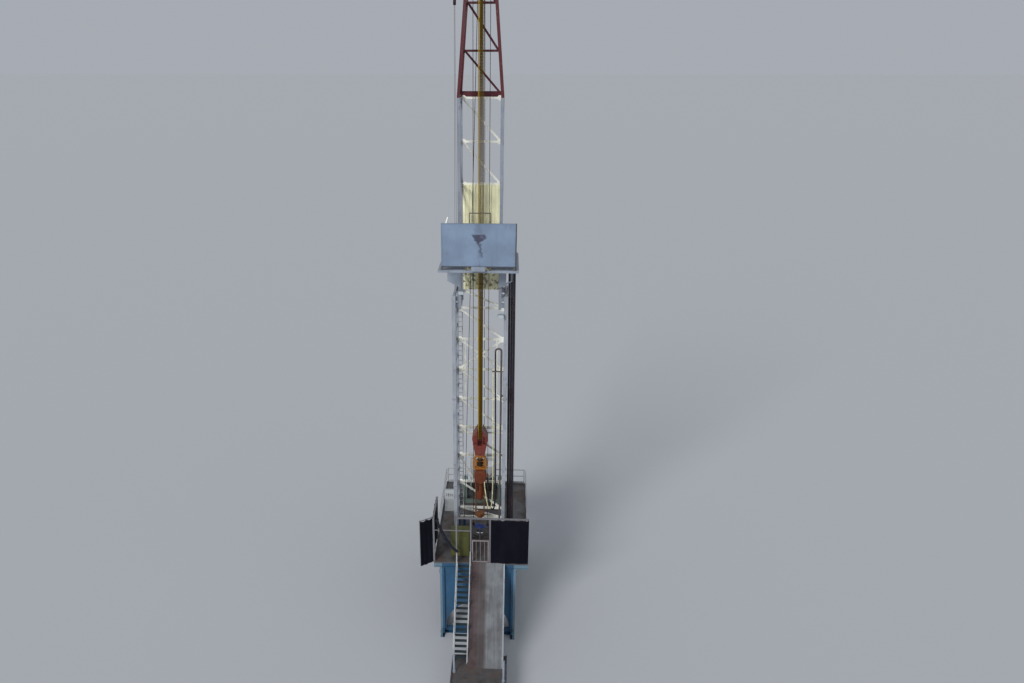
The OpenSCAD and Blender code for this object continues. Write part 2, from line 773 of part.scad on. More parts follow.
// Monkey board: a frame round the front of the mast that carries fingers on both sides
board_front = up_front - board_d;
board_in = board_w / 2 - board_beam;
finger_step = (board_d - board_beam) / (finger_n + 1);

module monkey_board() color(white) {
    z0 = board_z - board_beam;
    for (s = [0, 1]) mirror([s, 0, 0]) {
        box([board_in, board_front, z0], [board_w / 2, up_rear, board_z]);
        box([up_w / 2, up_rear - board_beam, z0], [board_in + 1, up_rear, board_z]);
    }
    box([-board_in - 1, board_front, z0], [board_in + 1, board_front + board_beam, board_z]);
    box([-board_in - 1, up_front - board_beam, z0], [board_in + 1, up_front, board_z]);
}

module board_fingers() color(white)
    for (s = [0, 1]) mirror([s, 0, 0]) {
        for (i = [1 : finger_n])
            box([tongue_w / 2 + 250, board_front + i * finger_step, board_z - finger_w],
                [board_in, board_front + i * finger_step + finger_w, board_z]);
        for (i = [0 : rack_rows])
            box([up_w / 2 + 60, rack_y(i - 0.5) - finger_w / 2, board_z - finger_w],
                [board_in, rack_y(i - 0.5) + finger_w / 2, board_z]);
    }

// Racked stands lean in the fingers to the right of the mast
rack_rows = 5;
rack_cols = 3;
rack_pitch = 270;
rack_floor_x = 1720;
rack_lean = 130;
function rack_y(i) = up_front + 200 + rack_pitch / 2 + i * rack_pitch;

module racked_pipe() color(dark)
    for (i = [0 : rack_rows - 1], k = [0 : rack_cols - 1]) {
        x = rack_floor_x + k * (2 * pipe_r + 7);
        translate([x, rack_y(i), floor_z + 2 * seat])
            rotate([0, -atan(rack_lean / (board_z - floor_z)), 0])
                cylinder(r = pipe_r, h = stand_l, $fn = 24);
    }

module diving_board() color(white) {
    box([-tongue_w / 2, board_front - 190, board_z], [tongue_w / 2, up_front - 30, board_z + 60]);
    box([-tongue_w / 2, board_front - 190, board_z + 60], [tongue_w / 2, board_front - 60,
        board_z + 230]);
}

module board_windwall() color([0.50, 0.58, 0.68]) {
    z0 = board_z + 240;
    for (s = [-1, 1])
        translate([s * (board_wall_w / 4 + 4), 0, 0])
            box([-board_wall_w / 4, board_front - board_wall_t, z0],
                [board_wall_w / 4, board_front, z0 + board_wall_h]);
}

// Posts behind the windwall with rails between them, and a hoop that stands on the board
board_post = 80;
hoop_w = 1160;
hoop_top = 2560;
module board_posts() color(white) {
    n = 3;
    top = board_z + 240 + board_wall_h;
    step = (board_wall_w - board_post) / n;
    for (i = [0 : n])
        translate([-board_wall_w / 2 + i * step, board_front, board_z])
            cube([board_post, board_post, top - board_z]);
    for (i = [0 : n - 1], k = [0.5, 1])
        translate([-board_wall_w / 2 + i * step + board_post, board_front + board_post / 3,
            board_z + 240 + k * (board_wall_h - rail_t)])
            cube([step - board_post, rail_t, rail_t]);
    translate([-hoop_w / 2, hoop_y, board_z]) {
        for (x = [0, hoop_w - rail_t])
            translate([x, 0, 0]) cube([rail_t, rail_t, hoop_top]);
        translate([0, 0, hoop_top - rail_t]) cube([hoop_w, rail_t, rail_t]);
    }
}
hoop_y = up_front - board_beam / 2 - rail_t / 2;

// Wings beside the mast's front legs, with a sloping lower edge
wing_in = up_w / 2 - up_leg;
wing_out = 1750;
wing_foot = low_top + 450;
wing_rise = 420;
wing_top = 1350;
wing_t = 30;
module board_wings() color(white) translate([0, up_front - board_beam - wing_t, 0]) {
    top = board_z + wing_top;
    along_y(0, wing_t) polygon([[-wing_in, wing_foot], [-wing_out, wing_foot + wing_rise],
        [-wing_out, top], [-wing_in, top]]);
    mid = wing_in + (wing_out - wing_in) * 0.55;
    along_y(0, wing_t) polygon([[wing_in, wing_foot],
        [mid, wing_foot + wing_rise * (mid - wing_in) / (wing_out - wing_in)],
        [mid, top], [wing_in, top]]);
}

module board_knee_braces() color(white) for (s = [0, 1]) mirror([s, 0, 0]) {
    y = up_front - board_beam / 2;
    bar([wing_in, y, wing_foot], [wing_out, y, wing_foot + wing_rise], 70, 60);
    bar([wing_out - 30, y, wing_foot + wing_rise - 20], [wing_out - 30, y,
        board_z - board_beam], 60, 50);
}

// Corrugated pale panel behind the mast's rear face
panel_up = 3750;
panel_down = 2100;
panel_rib = 200;
module board_rear_panel() color([0.85, 0.85, 0.70])
    translate([0, 0, board_z - panel_down]) linear_extrude(panel_up + panel_down) {
        half = up_w / 2 - 20;
        translate([-half, up_rear + seat]) square([2 * half, 12]);
        for (x = [-half + panel_rib / 2 : panel_rib : half - panel_rib / 2])
            translate([x - panel_rib / 5, up_rear + seat]) square([panel_rib * 2 / 5, 40]);
    }

// Travelling equipment, hung on the drill lines
block_r = 330;
block_n = sheave_n - 1;
block_mid = block_top - 640;
hook_top = block_top - block_h;
drive_top = hook_top - hook_h;
drive_low = drive_top - drive_h;
neck_z = drive_top - 330;

// A straight rope from a to b
module rope(a, b) {
    d = b - a;
    translate(a) rotate([0, acos(d[2] / norm(d)), atan2(d[1], d[0])])
        cylinder(r = line_r, h = norm(d), $fn = 16);
}

// Each line runs from a sheave of the block to a sheave of the crown: in front to the one
// above it, behind to the next one, and the last of those to the fast line's sheave
module drill_lines() color([0.62, 0.50, 0.18]) {
    low_r = block_r - groove + line_r + seat;
    for (i = [0 : block_n - 1], s = [-1, 1]) {
        last = s > 0 && i == block_n - 1;
        rope([(i - (block_n - 1) / 2) * sheave_pitch, -well_y + s * low_r, block_mid],
            [(i + (s + 1) / 2) * sheave_pitch - outer_x,
                last ? fast_y - line_reach : -well_y + s * line_reach, sheave_z]);
    }
}

// Egg-shaped cheek: narrow at the becket, widest at the axle
module block_outline() {
    translate([0, block_mid]) circle(r = block_w / 2, $fn = 96);
    polygon([[-block_w * 0.19, block_top], [block_w * 0.19, block_top],
        [block_w * 0.47, block_mid + block_w * 0.17], [block_w * 0.5, block_mid],
        [block_w * 0.3, hook_top], [-block_w * 0.3, hook_top], [-block_w * 0.5, block_mid],
        [-block_w * 0.47, block_mid + block_w * 0.17]]);
}

// Four sheaves between two pairs of cheeks, with a guard plate over each outer pair
module travelling_block() color(mast_red) {
    slot_w = block_n * sheave_pitch / 2 + 20;
    cheek = 40;
    difference() {
        along_y(-well_y - block_d / 2, block_d) block_outline();
        box([-slot_w, -well_y - block_d, block_mid - block_r - 40],
            [slot_w, -well_y + block_d, block_top + 1]);
        for (s = [0, 1]) mirror([s, 0, 0])
            box([slot_w + cheek, -well_y - block_d, block_mid - block_r * 0.8],
                [block_w, -well_y - block_d / 2 + 4 * cheek, block_mid + block_r * 0.7]);
        for (s = [0, 1]) mirror([s, 0, 0])
            box([slot_w + cheek, -well_y + block_d / 2 - 4 * cheek, block_mid - block_r * 0.8],
                [block_w, -well_y + block_d, block_mid + block_r * 0.7]);
    }
    translate([0, -well_y, block_mid]) {
        for (i = [0 : block_n - 1])
            translate([(i - (block_n - 1) / 2) * sheave_pitch, 0, 0])
                sheave(block_r, sheave_t, 50);
        rotate([0, 90, 0]) cylinder(r = 50, h = 2 * slot_w, center = true, $fn = 48);
    }
}

// A bail with two bowed arms round a stem
module hook() color([0.70, 0.42, 0.08]) {
    r = hook_h * 0.36;
    arm = hook_h * 0.1;
    mid = drive_top + hook_h * 0.5;
    along_y(-well_y - arm, 2 * arm) {
        difference() {
            union() {
                translate([0, mid]) circle(r = r, $fn = 96);
                translate([-r, drive_top]) square([2 * r, hook_h * 0.5]);
                translate([-block_w * 0.2, mid]) square([block_w * 0.4, hook_top - mid]);
            }
            translate([0, mid]) circle(r = r - arm, $fn = 96);
            translate([arm - r, drive_top + arm]) square([2 * (r - arm), hook_h * 0.5 - arm]);
        }
        translate([-arm * 0.7, drive_top]) square([arm * 1.4, hook_h]);
    }
}

// Gear case with a motor behind each side, a gooseneck, a box that the service lines are
// plugged into, and below it a stem, the pipe handler and a bell
plug_z = drive_low + 170;
neck_r = 130;
neck_x = 470;
neck_y = -well_y - 230;
stem_r = 150;
handler_r = 200;
handler_h = 1150;
bell_r = 120;
module top_drive() color([0.36, 0.14, 0.10]) {
    hw = drive_w / 2;
    hd = 330;
    translate([0, -well_y, 0]) {
        along_y(-hd, 2 * hd) polygon([[-hw * 0.7, drive_top], [hw * 0.7, drive_top],
            [hw, drive_top - hw / 2], [hw, drive_low + hw / 3], [hw * 0.75, drive_low],
            [-hw * 0.75, drive_low], [-hw, drive_low + hw / 3], [-hw, drive_top - hw / 2]]);
        for (s = [-1, 1])
            translate([s * (hw - 60), hd - 100, drive_low])
                cylinder(r = 105, h = drive_h * 0.7, $fn = 48);
        box([220, -hd - 70, plug_z], [340, 1 - hd, plug_z + 140]);
        translate([0, 0, drive_low - 620]) cylinder(r = stem_r, h = 620, $fn = 64);
        translate([0, 0, drive_low - handler_h]) cylinder(r = handler_r, h = handler_h - 220, $fn = 64);
        translate([0, 0, drive_low - handler_h - stem_r])
            cylinder(r = bell_r, h = stem_r + seat, $fn = 64);
    }
    // The gooseneck leaves the case's side, turns down and ends in a flange
    translate([neck_x - neck_r, neck_y, neck_z]) {
        rotate([90, 0, 0]) rotate_extrude(angle = 90, $fn = 48)
            translate([neck_r, 0]) circle(r = hose_r, $fn = 32);
        translate([hw - 60 - neck_x + neck_r, 0, neck_r]) rotate([0, 90, 0])
            cylinder(r = hose_r, h = neck_x - neck_r - hw + 60, $fn = 32);
        translate([neck_r, 0, -60]) cylinder(r = hose_r + 18, h = 60, $fn = 32);
    }
}

// Two links with eyes hang from the case and carry the elevator
link_r = 40;
link_x = stem_r + 100;
lift_h = 260;
module elevator_links() color(steel) {
    z = drive_low - link_l;
    eye = 100;
    top = drive_low - eye - seat;
    translate([0, -well_y, 0]) {
        for (s = [-1, 1]) translate([s * link_x, 0, 0]) {
            translate([0, 0, z + lift_h - 10])
                cylinder(r = link_r, h = top - eye * 0.8 - z - lift_h + 10, $fn = 32);
            along_x(-35, 70) difference() {
                translate([0, top]) circle(r = eye, $fn = 48);
                translate([0, top]) circle(r = eye / 2, $fn = 48);
            }
        }
        translate([0, 0, z]) difference() {
            union() {
                cylinder(r = 230, h = lift_h, $fn = 48);
                box([-link_x - link_r, -90, 60], [link_x + link_r, 90, lift_h]);
            }
            translate([0, 0, -1]) cylinder(r = 75, h = lift_h + 2, $fn = 48);
        }
    }
}

// Standpipe on the right front leg's inner side, with a bend at its top
stand_x = low_w / 2 - low_leg - 2 * riser_r;
stand_y = mast_front + low_leg / 2;
bend_r = 3 * riser_r;
module standpipe() color(steel) {
    foot = floor_z + shoe_h / 6;
    translate([stand_x, stand_y, foot]) cylinder(r = riser_r, h = stand_top - foot, $fn = 32);
    translate([stand_x - bend_r, stand_y, stand_top])
        rotate([90, 0, 0]) rotate_extrude(angle = 180, $fn = 48)
            translate([bend_r, 0]) circle(r = riser_r, $fn = 32);
    // Clamps between the pipe and the leg
    for (z = [mast_foot + low_panel : 2 * low_panel : stand_top - low_panel])
        box([stand_x, stand_y - riser_r / 2, z],
            [low_w / 2 - low_leg - seat, stand_y + riser_r / 2, z + 2 * riser_r]);
    // Arm from the leg for the service lines
    box([700, mast_front, loop_top], [low_w / 2 - low_leg - seat, mast_front + 40, loop_top + 60]);
}

// A tube of eight sides swept along points
function unit(v) = v / norm(v);
function tangent(p, i) = unit(p[min(i + 1, len(p) - 1)] - p[max(i - 1, 0)]);
function ring(c, t, r) = let (
    u = unit(cross(t, [0, 1, 0])), v = cross(t, u))
    [for (k = [0 : 7]) c + r * (cos(k * 45) * u + sin(k * 45) * v)];
module tube(p, r) {
    n = len(p);
    pts = [for (i = [0 : n - 1]) each ring(p[i], tangent(p, i), r)];
    sides = [for (i = [0 : n - 2], k = [0 : 7])
        [i * 8 + k, i * 8 + (k + 1) % 8, (i + 1) * 8 + (k + 1) % 8, (i + 1) * 8 + k]];
    polyhedron(pts, concat([[for (k = [7 : -1 : 0]) k]], sides,
        [[for (k = [0 : 7]) (n - 1) * 8 + k]]));
}

// The rotary hose hangs from the standpipe's bend in a long loop to the gooseneck
hose_r = 45;
hose = [[885, -2400, 17799.6], [885, -2400, 17300], [890, -2390, 16300], [905, -2360, 14800],
    [920, -2320, 13200], [930, -2280, 11600], [940, -2250, 10200], [945, -2220, 9000],
    [930, -2170, 8100], [880, -2090, 7560], [790, -1980, 7320], [690, -1870, 7340],
    [590, -1760, 7620], [510, -1660, 8150], [475, -1600, 8800], [470, -1580, 9200],
    [470, -1580, 9389.6]];
module rotary_hose() color(dark) tube(hose, hose_r);

// A bundle of service lines hangs beside it, from an arm of the mast to the case's front
loop_r = 28;
loop_top = 16600;
loop = [[760, -2480, 16599.6], [760, -2475, 16000], [765, -2450, 14800], [775, -2420, 13400],
    [785, -2390, 12000], [790, -2360, 10600], [785, -2320, 9300], [765, -2280, 8300],
    [710, -2220, 7700], [620, -2140, 7480], [520, -2050, 7560], [430, -1960, 7950],
    [350, -1880, 8450], [300, -1790, 8780], [280, -1715, 9000], [280, -1715, 9099.6]];
module service_loop() color([0.80, 0.78, 0.55]) tube(loop, loop_r);

// Ropes that don't move with the block: the fast line to the drum, the dead line to its
// anchor, and two tugger lines that end in sockets on the floor
anchor_x = -1020;
anchor_y = -560;
anchor_h = 420;
socket_y = -600;
module fixed_lines() color([0.20, 0.17, 0.16]) {
    rope([outer_x, drum_y - drum_r - line_r - seat, floor_z + drum_z],
        [outer_x, fast_y + line_reach, sheave_z]);
    rope([anchor_x, anchor_y, floor_z + anchor_h + 2 * seat],
        [-outer_x, -well_y + line_reach, sheave_z]);
    for (s = [-1, 1]) {
        rope([s * tugger_x, socket_y, floor_z + 100], [s * tugger_x, eye_y, eye_z - 2 * seat]);
        translate([s * tugger_x, socket_y, floor_z + seat])
            cylinder(r1 = 60, r2 = 30, h = 160, $fn = 32);
    }
}

// Post that holds the dead line
module deadline_anchor() color(blue) translate([anchor_x, anchor_y, floor_z]) {
    box([-120, -120, 0], [120, 120, 24]);
    translate([0, 0, 24]) cylinder(r = 70, h = anchor_h - 24, $fn = 48);
    translate([0, 0, anchor_h - 160]) cylinder(r = 105, h = 60, $fn = 48);
}

// Drawworks: a skid, two housings with rounded tops, a flanged drum and a motor behind
works_w = 2700;
house_w = 330;
works_skid = 200;
motor_r = 260;
motor_l = 1000;
module drawworks() color([0.35, 0.40, 0.42]) {
    front = -drum_r - 330;
    rear = works_rear - drum_y;
    house_r = drum_r + 130;
    inner = works_w / 2 - house_w;
    translate([0, drum_y, floor_z]) {
        for (s = [0, 1]) mirror([s, 0, 0]) {
            box([inner, front, 0], [works_w / 2, rear, works_skid]);
            along_x(inner, house_w) {
                translate([0, drum_z]) circle(r = house_r, $fn = 96);
                translate([-house_r, works_skid]) square([2 * house_r, drum_z - works_skid]);
            }
        }
        for (y = [front, rear - works_skid])
            box([-inner - 1, y, 0], [inner + 1, y + works_skid, works_skid]);
        translate([-inner - 1, 0, drum_z]) rotate([0, 90, 0])
            cylinder(r = 110, h = 2 * inner + 2, $fn = 48);
        translate([-drum_l / 2, 0, drum_z]) rotate([0, 90, 0])
            cylinder(r = drum_r, h = drum_l, $fn = 96);
        for (s = [-1, 1])
            translate([s * drum_l / 2 - 30, 0, drum_z]) rotate([0, 90, 0])
                cylinder(r = drum_r + 110, h = 60, $fn = 96);
        translate([-motor_l / 2, rear - motor_r, works_skid + motor_r]) rotate([0, 90, 0])
            cylinder(r = motor_r, h = motor_l, $fn = 64);
        box([-motor_l * 0.4, rear - works_skid, works_skid / 2],
            [motor_l * 0.4, rear, works_skid + motor_r]);
    }
}

// Plate with two windows across the floor's rear
guard_w = 1800;
guard_h = 2200;
guard_t = 80;
guard_y = sub_rear - 500;
works_rear = guard_y - 20;
module drawworks_guard() color(white) {
    y = guard_y;
    pane = guard_w / 4;
    difference() {
        box([-guard_w / 2, y, floor_z], [guard_w / 2, y + guard_t, floor_z + guard_h]);
        for (s = [-1, 1])
            translate([s * guard_w / 4, 0, 0])
                box([-pane / 2, y - 1, floor_z + guard_h - 1.6 * pane],
                    [pane / 2, y + guard_t + 1, floor_z + guard_h - pane / 2]);
    }
}

// A cabinet with a sloping desk
console_w = 600;
console_d = 620;
console_h = 1300;
module driller_console() color(white)
    along_x(-floor_left + 200, console_w) translate([900, floor_z])
        polygon([[0, 0], [console_d, 0], [console_d, console_h], [console_d * 0.7, console_h],
            [0, console_h * 0.72]]);

sub_base();
sub_front_frame();
sub_rear_frame();
sub_side_left();
sub_side_right();
floor_beams();
drill_floor();
rotary_table();
floor_rail_left();
floor_rail_right();
floor_rail_rear();
windwall_frame();
windwall_front();
windwall_left();
v_door_gate();
ramp_plate();
ramp_strip();
ramp_frame();
stair_stringers();
stair_treads();
stair_handrails();
catwalk_frame();
catwalk_deck();
mast_shoes();
mast_lower_left();
mast_lower_right();
mast_lower_rear();
mast_upper_left();
mast_upper_right();
mast_upper_rear();
mast_top_left();
mast_top_right();
mast_top_rear();
mast_guides();
mast_ladder();
crown_frame();
crown_sheaves();
crown_platform();
monkey_board();
diving_board();
board_windwall();
board_wings();
board_rear_panel();
board_knee_braces();
board_fingers();
board_posts();
racked_pipe();
drill_lines();
travelling_block();
hook();
top_drive();
elevator_links();
standpipe();
rotary_hose();
service_loop();
fixed_lines();
drawworks();
drawworks_guard();
driller_console();
deadline_anchor();
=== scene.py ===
"""Looks of the drilling rig: finishes, tarpaulins, ropes, hoses and fine fittings round the frame."""

import json
from math import cos, exp, pi, radians, sin, tau

import bmesh
import bpy
from mathutils import Matrix, Vector, noise


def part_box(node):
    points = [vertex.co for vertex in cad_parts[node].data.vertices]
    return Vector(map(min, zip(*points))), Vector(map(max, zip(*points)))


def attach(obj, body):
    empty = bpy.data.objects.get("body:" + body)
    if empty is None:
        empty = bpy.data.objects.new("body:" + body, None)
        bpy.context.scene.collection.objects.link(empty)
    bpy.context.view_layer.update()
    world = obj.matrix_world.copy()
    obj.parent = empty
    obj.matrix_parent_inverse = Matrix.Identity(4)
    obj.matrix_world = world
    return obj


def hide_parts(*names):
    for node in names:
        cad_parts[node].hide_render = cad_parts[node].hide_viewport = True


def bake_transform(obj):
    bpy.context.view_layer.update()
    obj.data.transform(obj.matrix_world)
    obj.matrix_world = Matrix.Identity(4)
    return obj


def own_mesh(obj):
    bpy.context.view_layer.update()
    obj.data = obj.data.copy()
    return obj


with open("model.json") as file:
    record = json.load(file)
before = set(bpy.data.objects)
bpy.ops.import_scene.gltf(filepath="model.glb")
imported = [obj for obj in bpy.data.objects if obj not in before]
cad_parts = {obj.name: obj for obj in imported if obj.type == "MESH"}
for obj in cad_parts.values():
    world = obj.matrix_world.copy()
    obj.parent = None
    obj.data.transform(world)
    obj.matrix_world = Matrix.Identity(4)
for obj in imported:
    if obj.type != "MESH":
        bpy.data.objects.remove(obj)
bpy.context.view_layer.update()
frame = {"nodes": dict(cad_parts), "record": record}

X = Vector((1, 0, 0))
Y = Vector((0, 1, 0))
Z = Vector((0, 0, 1))

# Frame of the photograph and the camera that it gives
IMAGE_W = 1024
FOCAL_PX = 740
CENTRE_PX = 475
SENSOR_MM = 36
CAMERA_AT = (1.6, -40.85, 32.5)
CAMERA_DOWN = 20.15
CAMERA_LEFT = 2.77

FLOOR_SIZE = 6000
SKY = (0.74, 0.79, 0.87, 1)
SKY_STRENGTH = 0.52
# Name, strength, spread and turn of each lamp, with the angles in degrees
LAMPS = (("key", 2.1, 22, (60, 0, -30)), ("fill", 0.35, 60, (66, 0, 50)))


def add(name, data):
    """A new object in the scene."""
    made = bpy.data.objects.new(name, data)
    bpy.context.scene.collection.objects.link(made)
    return made


def make_camera():
    """The photograph's view: high in front of the rig, a little to its right."""
    data = bpy.data.cameras.new("camera")
    data.sensor_width = SENSOR_MM
    data.lens = FOCAL_PX / IMAGE_W * SENSOR_MM
    data.shift_x = (IMAGE_W / 2 - CENTRE_PX) / IMAGE_W
    data.clip_end = 2 * FLOOR_SIZE
    camera = add("camera", data)
    camera.location = CAMERA_AT
    camera.rotation_euler = (radians(90 - CAMERA_DOWN), 0, radians(CAMERA_LEFT))
    bpy.context.scene.camera = camera


def make_light():
    """A pale sky, one broad soft lamp from the upper left and a weak one from the right."""
    world = bpy.data.worlds.new("sky")
    world.use_nodes = True
    back = world.node_tree.nodes["Background"]
    back.inputs["Color"].default_value = SKY
    back.inputs["Strength"].default_value = SKY_STRENGTH
    bpy.context.scene.world = world
    for name, strength, spread, turn in LAMPS:
        lamp = bpy.data.lights.new(name, "SUN")
        lamp.energy = strength
        lamp.angle = radians(spread)
        add(name, lamp).rotation_euler = [radians(a) for a in turn]
    bpy.context.scene.view_settings.view_transform = "Standard"


class Finish:
    """A material that is put together with short calls; places are the frame's own metres."""

    def __init__(self, name):
        self.material = bpy.data.materials.new(name)
        self.material.use_nodes = True
        self.tree = self.material.node_tree
        self.shader = self.tree.nodes["Principled BSDF"]
        self.place = self.node("TexCoord").outputs["Object"]

    def node(self, kind, **sockets):
        made = self.tree.nodes.new("ShaderNode" + kind)
        for key, value in sockets.items():
            self.put(made.inputs[key.replace("_", " ")], value)
        return made

    def put(self, socket, value):
        if isinstance(value, bpy.types.NodeSocket):
            self.tree.links.new(value, socket)
        elif hasattr(value, "__len__") and len(value) == 3 and socket.type == "RGBA":
            socket.default_value = (*value, 1)
        else:
            socket.default_value = value

    def noise(self, scale, detail=4, stretch=(1, 1, 1), shift=(0, 0, 0)):
        moved = self.node("Mapping", Vector=self.place, Scale=stretch, Location=shift)
        return self.node("TexNoise", Vector=moved.outputs[0], Scale=scale, Detail=detail).outputs[0]

    def math(self, operation, *values):
        made = self.tree.nodes.new("ShaderNodeMath")
        made.operation = operation
        for socket, value in zip(made.inputs, values):
            self.put(socket, value)
        return made.outputs[0]

    def times(self, a, b):
        return self.math("MULTIPLY", a, b)

    def ramp(self, value, low, high, to_low=0.0, to_high=1.0):
        made = self.node("MapRange", Value=value, From_Min=low, From_Max=high, To_Min=to_low, To_Max=to_high)
        made.interpolation_type = "SMOOTHSTEP"
        return made.outputs[0]

    def mix(self, share, a, b):
        made = self.tree.nodes.new("ShaderNodeMix")
        made.data_type = "RGBA"
        for k, value in ((0, share), (6, a), (7, b)):
            self.put(made.inputs[k], value)
        return made.outputs[2]

    def axis(self, which):
        return self.node("SeparateXYZ", Vector=self.place).outputs[which]

    def bump(self, height, strength, distance):
        made = self.node("Bump", Height=height, Strength=strength, Distance=distance)
        self.tree.links.new(made.outputs[0], self.shader.inputs["Normal"])

    def done(self, colour, roughness, metallic=0.0):
        for key, value in (("Base Color", colour), ("Roughness", roughness), ("Metallic", metallic)):
            self.put(self.shader.inputs[key], value)
        return self.material


def shade(colour, by):
    return tuple(min(1.0, c * by) for c in colour)


RUST = (0.17, 0.075, 0.035)
GRIME = (0.085, 0.07, 0.055)


def paint(name, colour, rust=0.5, grime=0.35, gloss=0.42, second=None):
    """Outdoor paint: uneven tone, rain streaks, rust where it has chipped and a fine grain."""
    f = Finish(name)
    base = f.mix(f.ramp(f.noise(0.9, 3), 0.3, 0.7), shade(colour, 0.86), shade(colour, 1.08))
    if second:
        base = second(f, base)
    streaks = f.times(f.ramp(f.noise(1, 5, (9, 9, 0.5)), 0.52, 0.78), grime)
    dirty = f.mix(streaks, base, GRIME)
    patch = f.ramp(f.noise(1.7, 2, shift=(3, 1, 7)), 0.5, 0.66)
    chips = f.times(f.ramp(f.noise(11, 8, shift=(5, 2, 1)), 0.56, 0.62), patch)
    chips = f.times(chips, rust)
    rough = f.ramp(chips, 0, 1, gloss, 0.85)
    f.bump(f.math("SUBTRACT", f.noise(40, 4), f.times(chips, 0.7)), 0.25, 0.004)
    return f.done(f.mix(chips, dirty, RUST), rough)


def steel(name, colour, wear=0.5, rust=0.5, roughness=0.5, pattern=None, marks=None):
    """Bare plate: polished where it is used, brown where it isn't, with mud trodden in."""
    f = Finish(name)
    broad = f.ramp(f.noise(0.8, 5), 0.36, 0.66)
    brown = f.mix(f.ramp(f.noise(6, 7, shift=(2, 9, 4)), 0.42, 0.62), shade(colour, 0.8), RUST)
    bright = f.mix(f.ramp(f.noise(3, 6, shift=(1, 4, 2)), 0.4, 0.7), colour, shade(colour, 1.25))
    mixed = f.mix(f.times(broad, rust), bright, brown)
    if marks:
        mixed = marks(f, mixed)
    mud = f.times(f.ramp(f.noise(2.2, 8, shift=(8, 8, 8)), 0.56, 0.68), 1 - wear)
    height = f.noise(30, 5)
    if pattern:
        height = f.math("ADD", height, pattern(f))
    f.bump(height, 0.35, 0.006)
    return f.done(f.mix(mud, mixed, GRIME), f.ramp(broad, 0, 1, roughness, 0.8), 0.55)


def checker(f):
    """Raised lozenges of a tread plate."""
    wave = f.node("TexWave", Vector=f.place, Scale=4.0)
    wave.bands_direction = "DIAGONAL"
    return f.times(wave.outputs[1], 0.8)


def skid_marks(f, base):
    """Long scrapes down the ramp, darker at its left side where pipe is dragged."""
    scrape = f.ramp(f.noise(1, 5, (7, 0.5, 0.5)), 0.4, 0.62, 0, 0.6)
    left = f.ramp(f.axis(0), 0.62, 0.42, 0.0, 0.75)
    return f.mix(left, f.mix(scrape, base, (0.2, 0.21, 0.225)), (0.06, 0.042, 0.04))


def panel_wear(f, base):
    """The sheet behind the mast is worn and mottled in its lower part."""
    low = f.ramp(f.axis(2), 23.4, 22.6)
    spots = f.ramp(f.noise(4.5, 6, shift=(3, 3, 1)), 0.5, 0.6, 0, 0.8)
    return f.mix(f.times(low, spots), base, (0.16, 0.15, 0.1))


def post_tone(f, base):
    """The portals' posts are paler than the plates between them."""
    side = f.ramp(f.math("ABSOLUTE", f.axis(0)), 2.11, 2.13)
    return f.mix(side, base, (0.13, 0.21, 0.27))


def leg_tone(f, base):
    """Dark scuffs at short steps up the legs."""
    marks = f.noise(2.0, 6, (2.2, 2.2, 1.1), (4, 4, 4))
    return f.mix(f.ramp(marks, 0.57, 0.64, 0, 0.75), base, (0.2, 0.24, 0.32))


def dark_wedge(f, base):
    """A dark wedge that points down in the middle of the sheets, with a run below it."""
    x = f.math("ADD", f.axis(0), f.ramp(f.noise(4, 6), 0.3, 0.7, -0.07, 0.07))
    z = f.axis(2)
    left = f.math("ABSOLUTE", f.math("SUBTRACT", x, f.ramp(z, 24.25, 24.8, 0.03, 0.05)))
    wedge = f.math("SUBTRACT", f.ramp(z, 24.2, 24.75, 0.01, 0.36), left)
    wedge = f.times(f.ramp(wedge, -0.03, 0.05), f.ramp(z, 24.86, 24.76))
    off = f.math("ABSOLUTE", f.math("SUBTRACT", x, f.ramp(z, 23.6, 24.3, 0.17, 0.08)))
    run = f.times(f.ramp(off, 0.1, 0.04), f.ramp(z, 23.55, 23.75))
    run = f.times(run, f.ramp(z, 24.5, 24.3))
    faint = f.times(f.ramp(f.math("ABSOLUTE", x), 0.3, 0.05, 0, 0.3), f.ramp(z, 24.7, 25.0))
    spot = f.math("MAXIMUM", f.math("MAXIMUM", wedge, f.times(run, 0.75)), faint)
    spot = f.times(spot, f.ramp(f.noise(9, 6), 0.3, 0.5, 0.6, 0.96))
    return f.mix(spot, base, (0.05, 0.05, 0.085))


def rubber(name, colour):
    """Hose rubber with fine rings."""
    f = Finish(name)
    rings = f.node("TexWave", Vector=f.place, Scale=14.0)
    rings.bands_direction = "Z"
    f.bump(f.math("ADD", rings.outputs[1], f.noise(25, 3)), 0.25, 0.004)
    return f.done(f.mix(f.ramp(f.noise(4, 5), 0.45, 0.7), colour, shade(colour, 2.2)), 0.55)


def wire(name, colour, bright=None):
    """Greased rope: dark between the strands; the ropes at the left side may get a painted highlight, a
    brighter colour that stands in for the light from the left.
    """
    f = Finish(name)
    strands = f.node("TexWave", Vector=f.node("Mapping", Vector=f.place, Scale=(30, 30, 14)).outputs[0])
    strands.bands_direction = "DIAGONAL"
    mixed = f.mix(f.ramp(strands.outputs[1], 0.2, 0.8), shade(colour, 0.6), shade(colour, 1.2))
    worn = f.mix(f.ramp(f.noise(0.6, 4, (1, 1, 0.4)), 0.42, 0.7, 0, 0.5), mixed, (0.055, 0.022, 0.006))
    if bright:
        # painted highlight: ropes at the left side are mixed towards a brighter colour that stands in for
        # the light falling on them from the left
        worn = f.mix(f.ramp(f.axis(0), -0.05, -0.08), worn, bright)
    f.bump(strands.outputs[1], 0.5, 0.003)
    f.shader.inputs["Specular IOR Level"].default_value = 0.2
    return f.done(worn, 0.6)


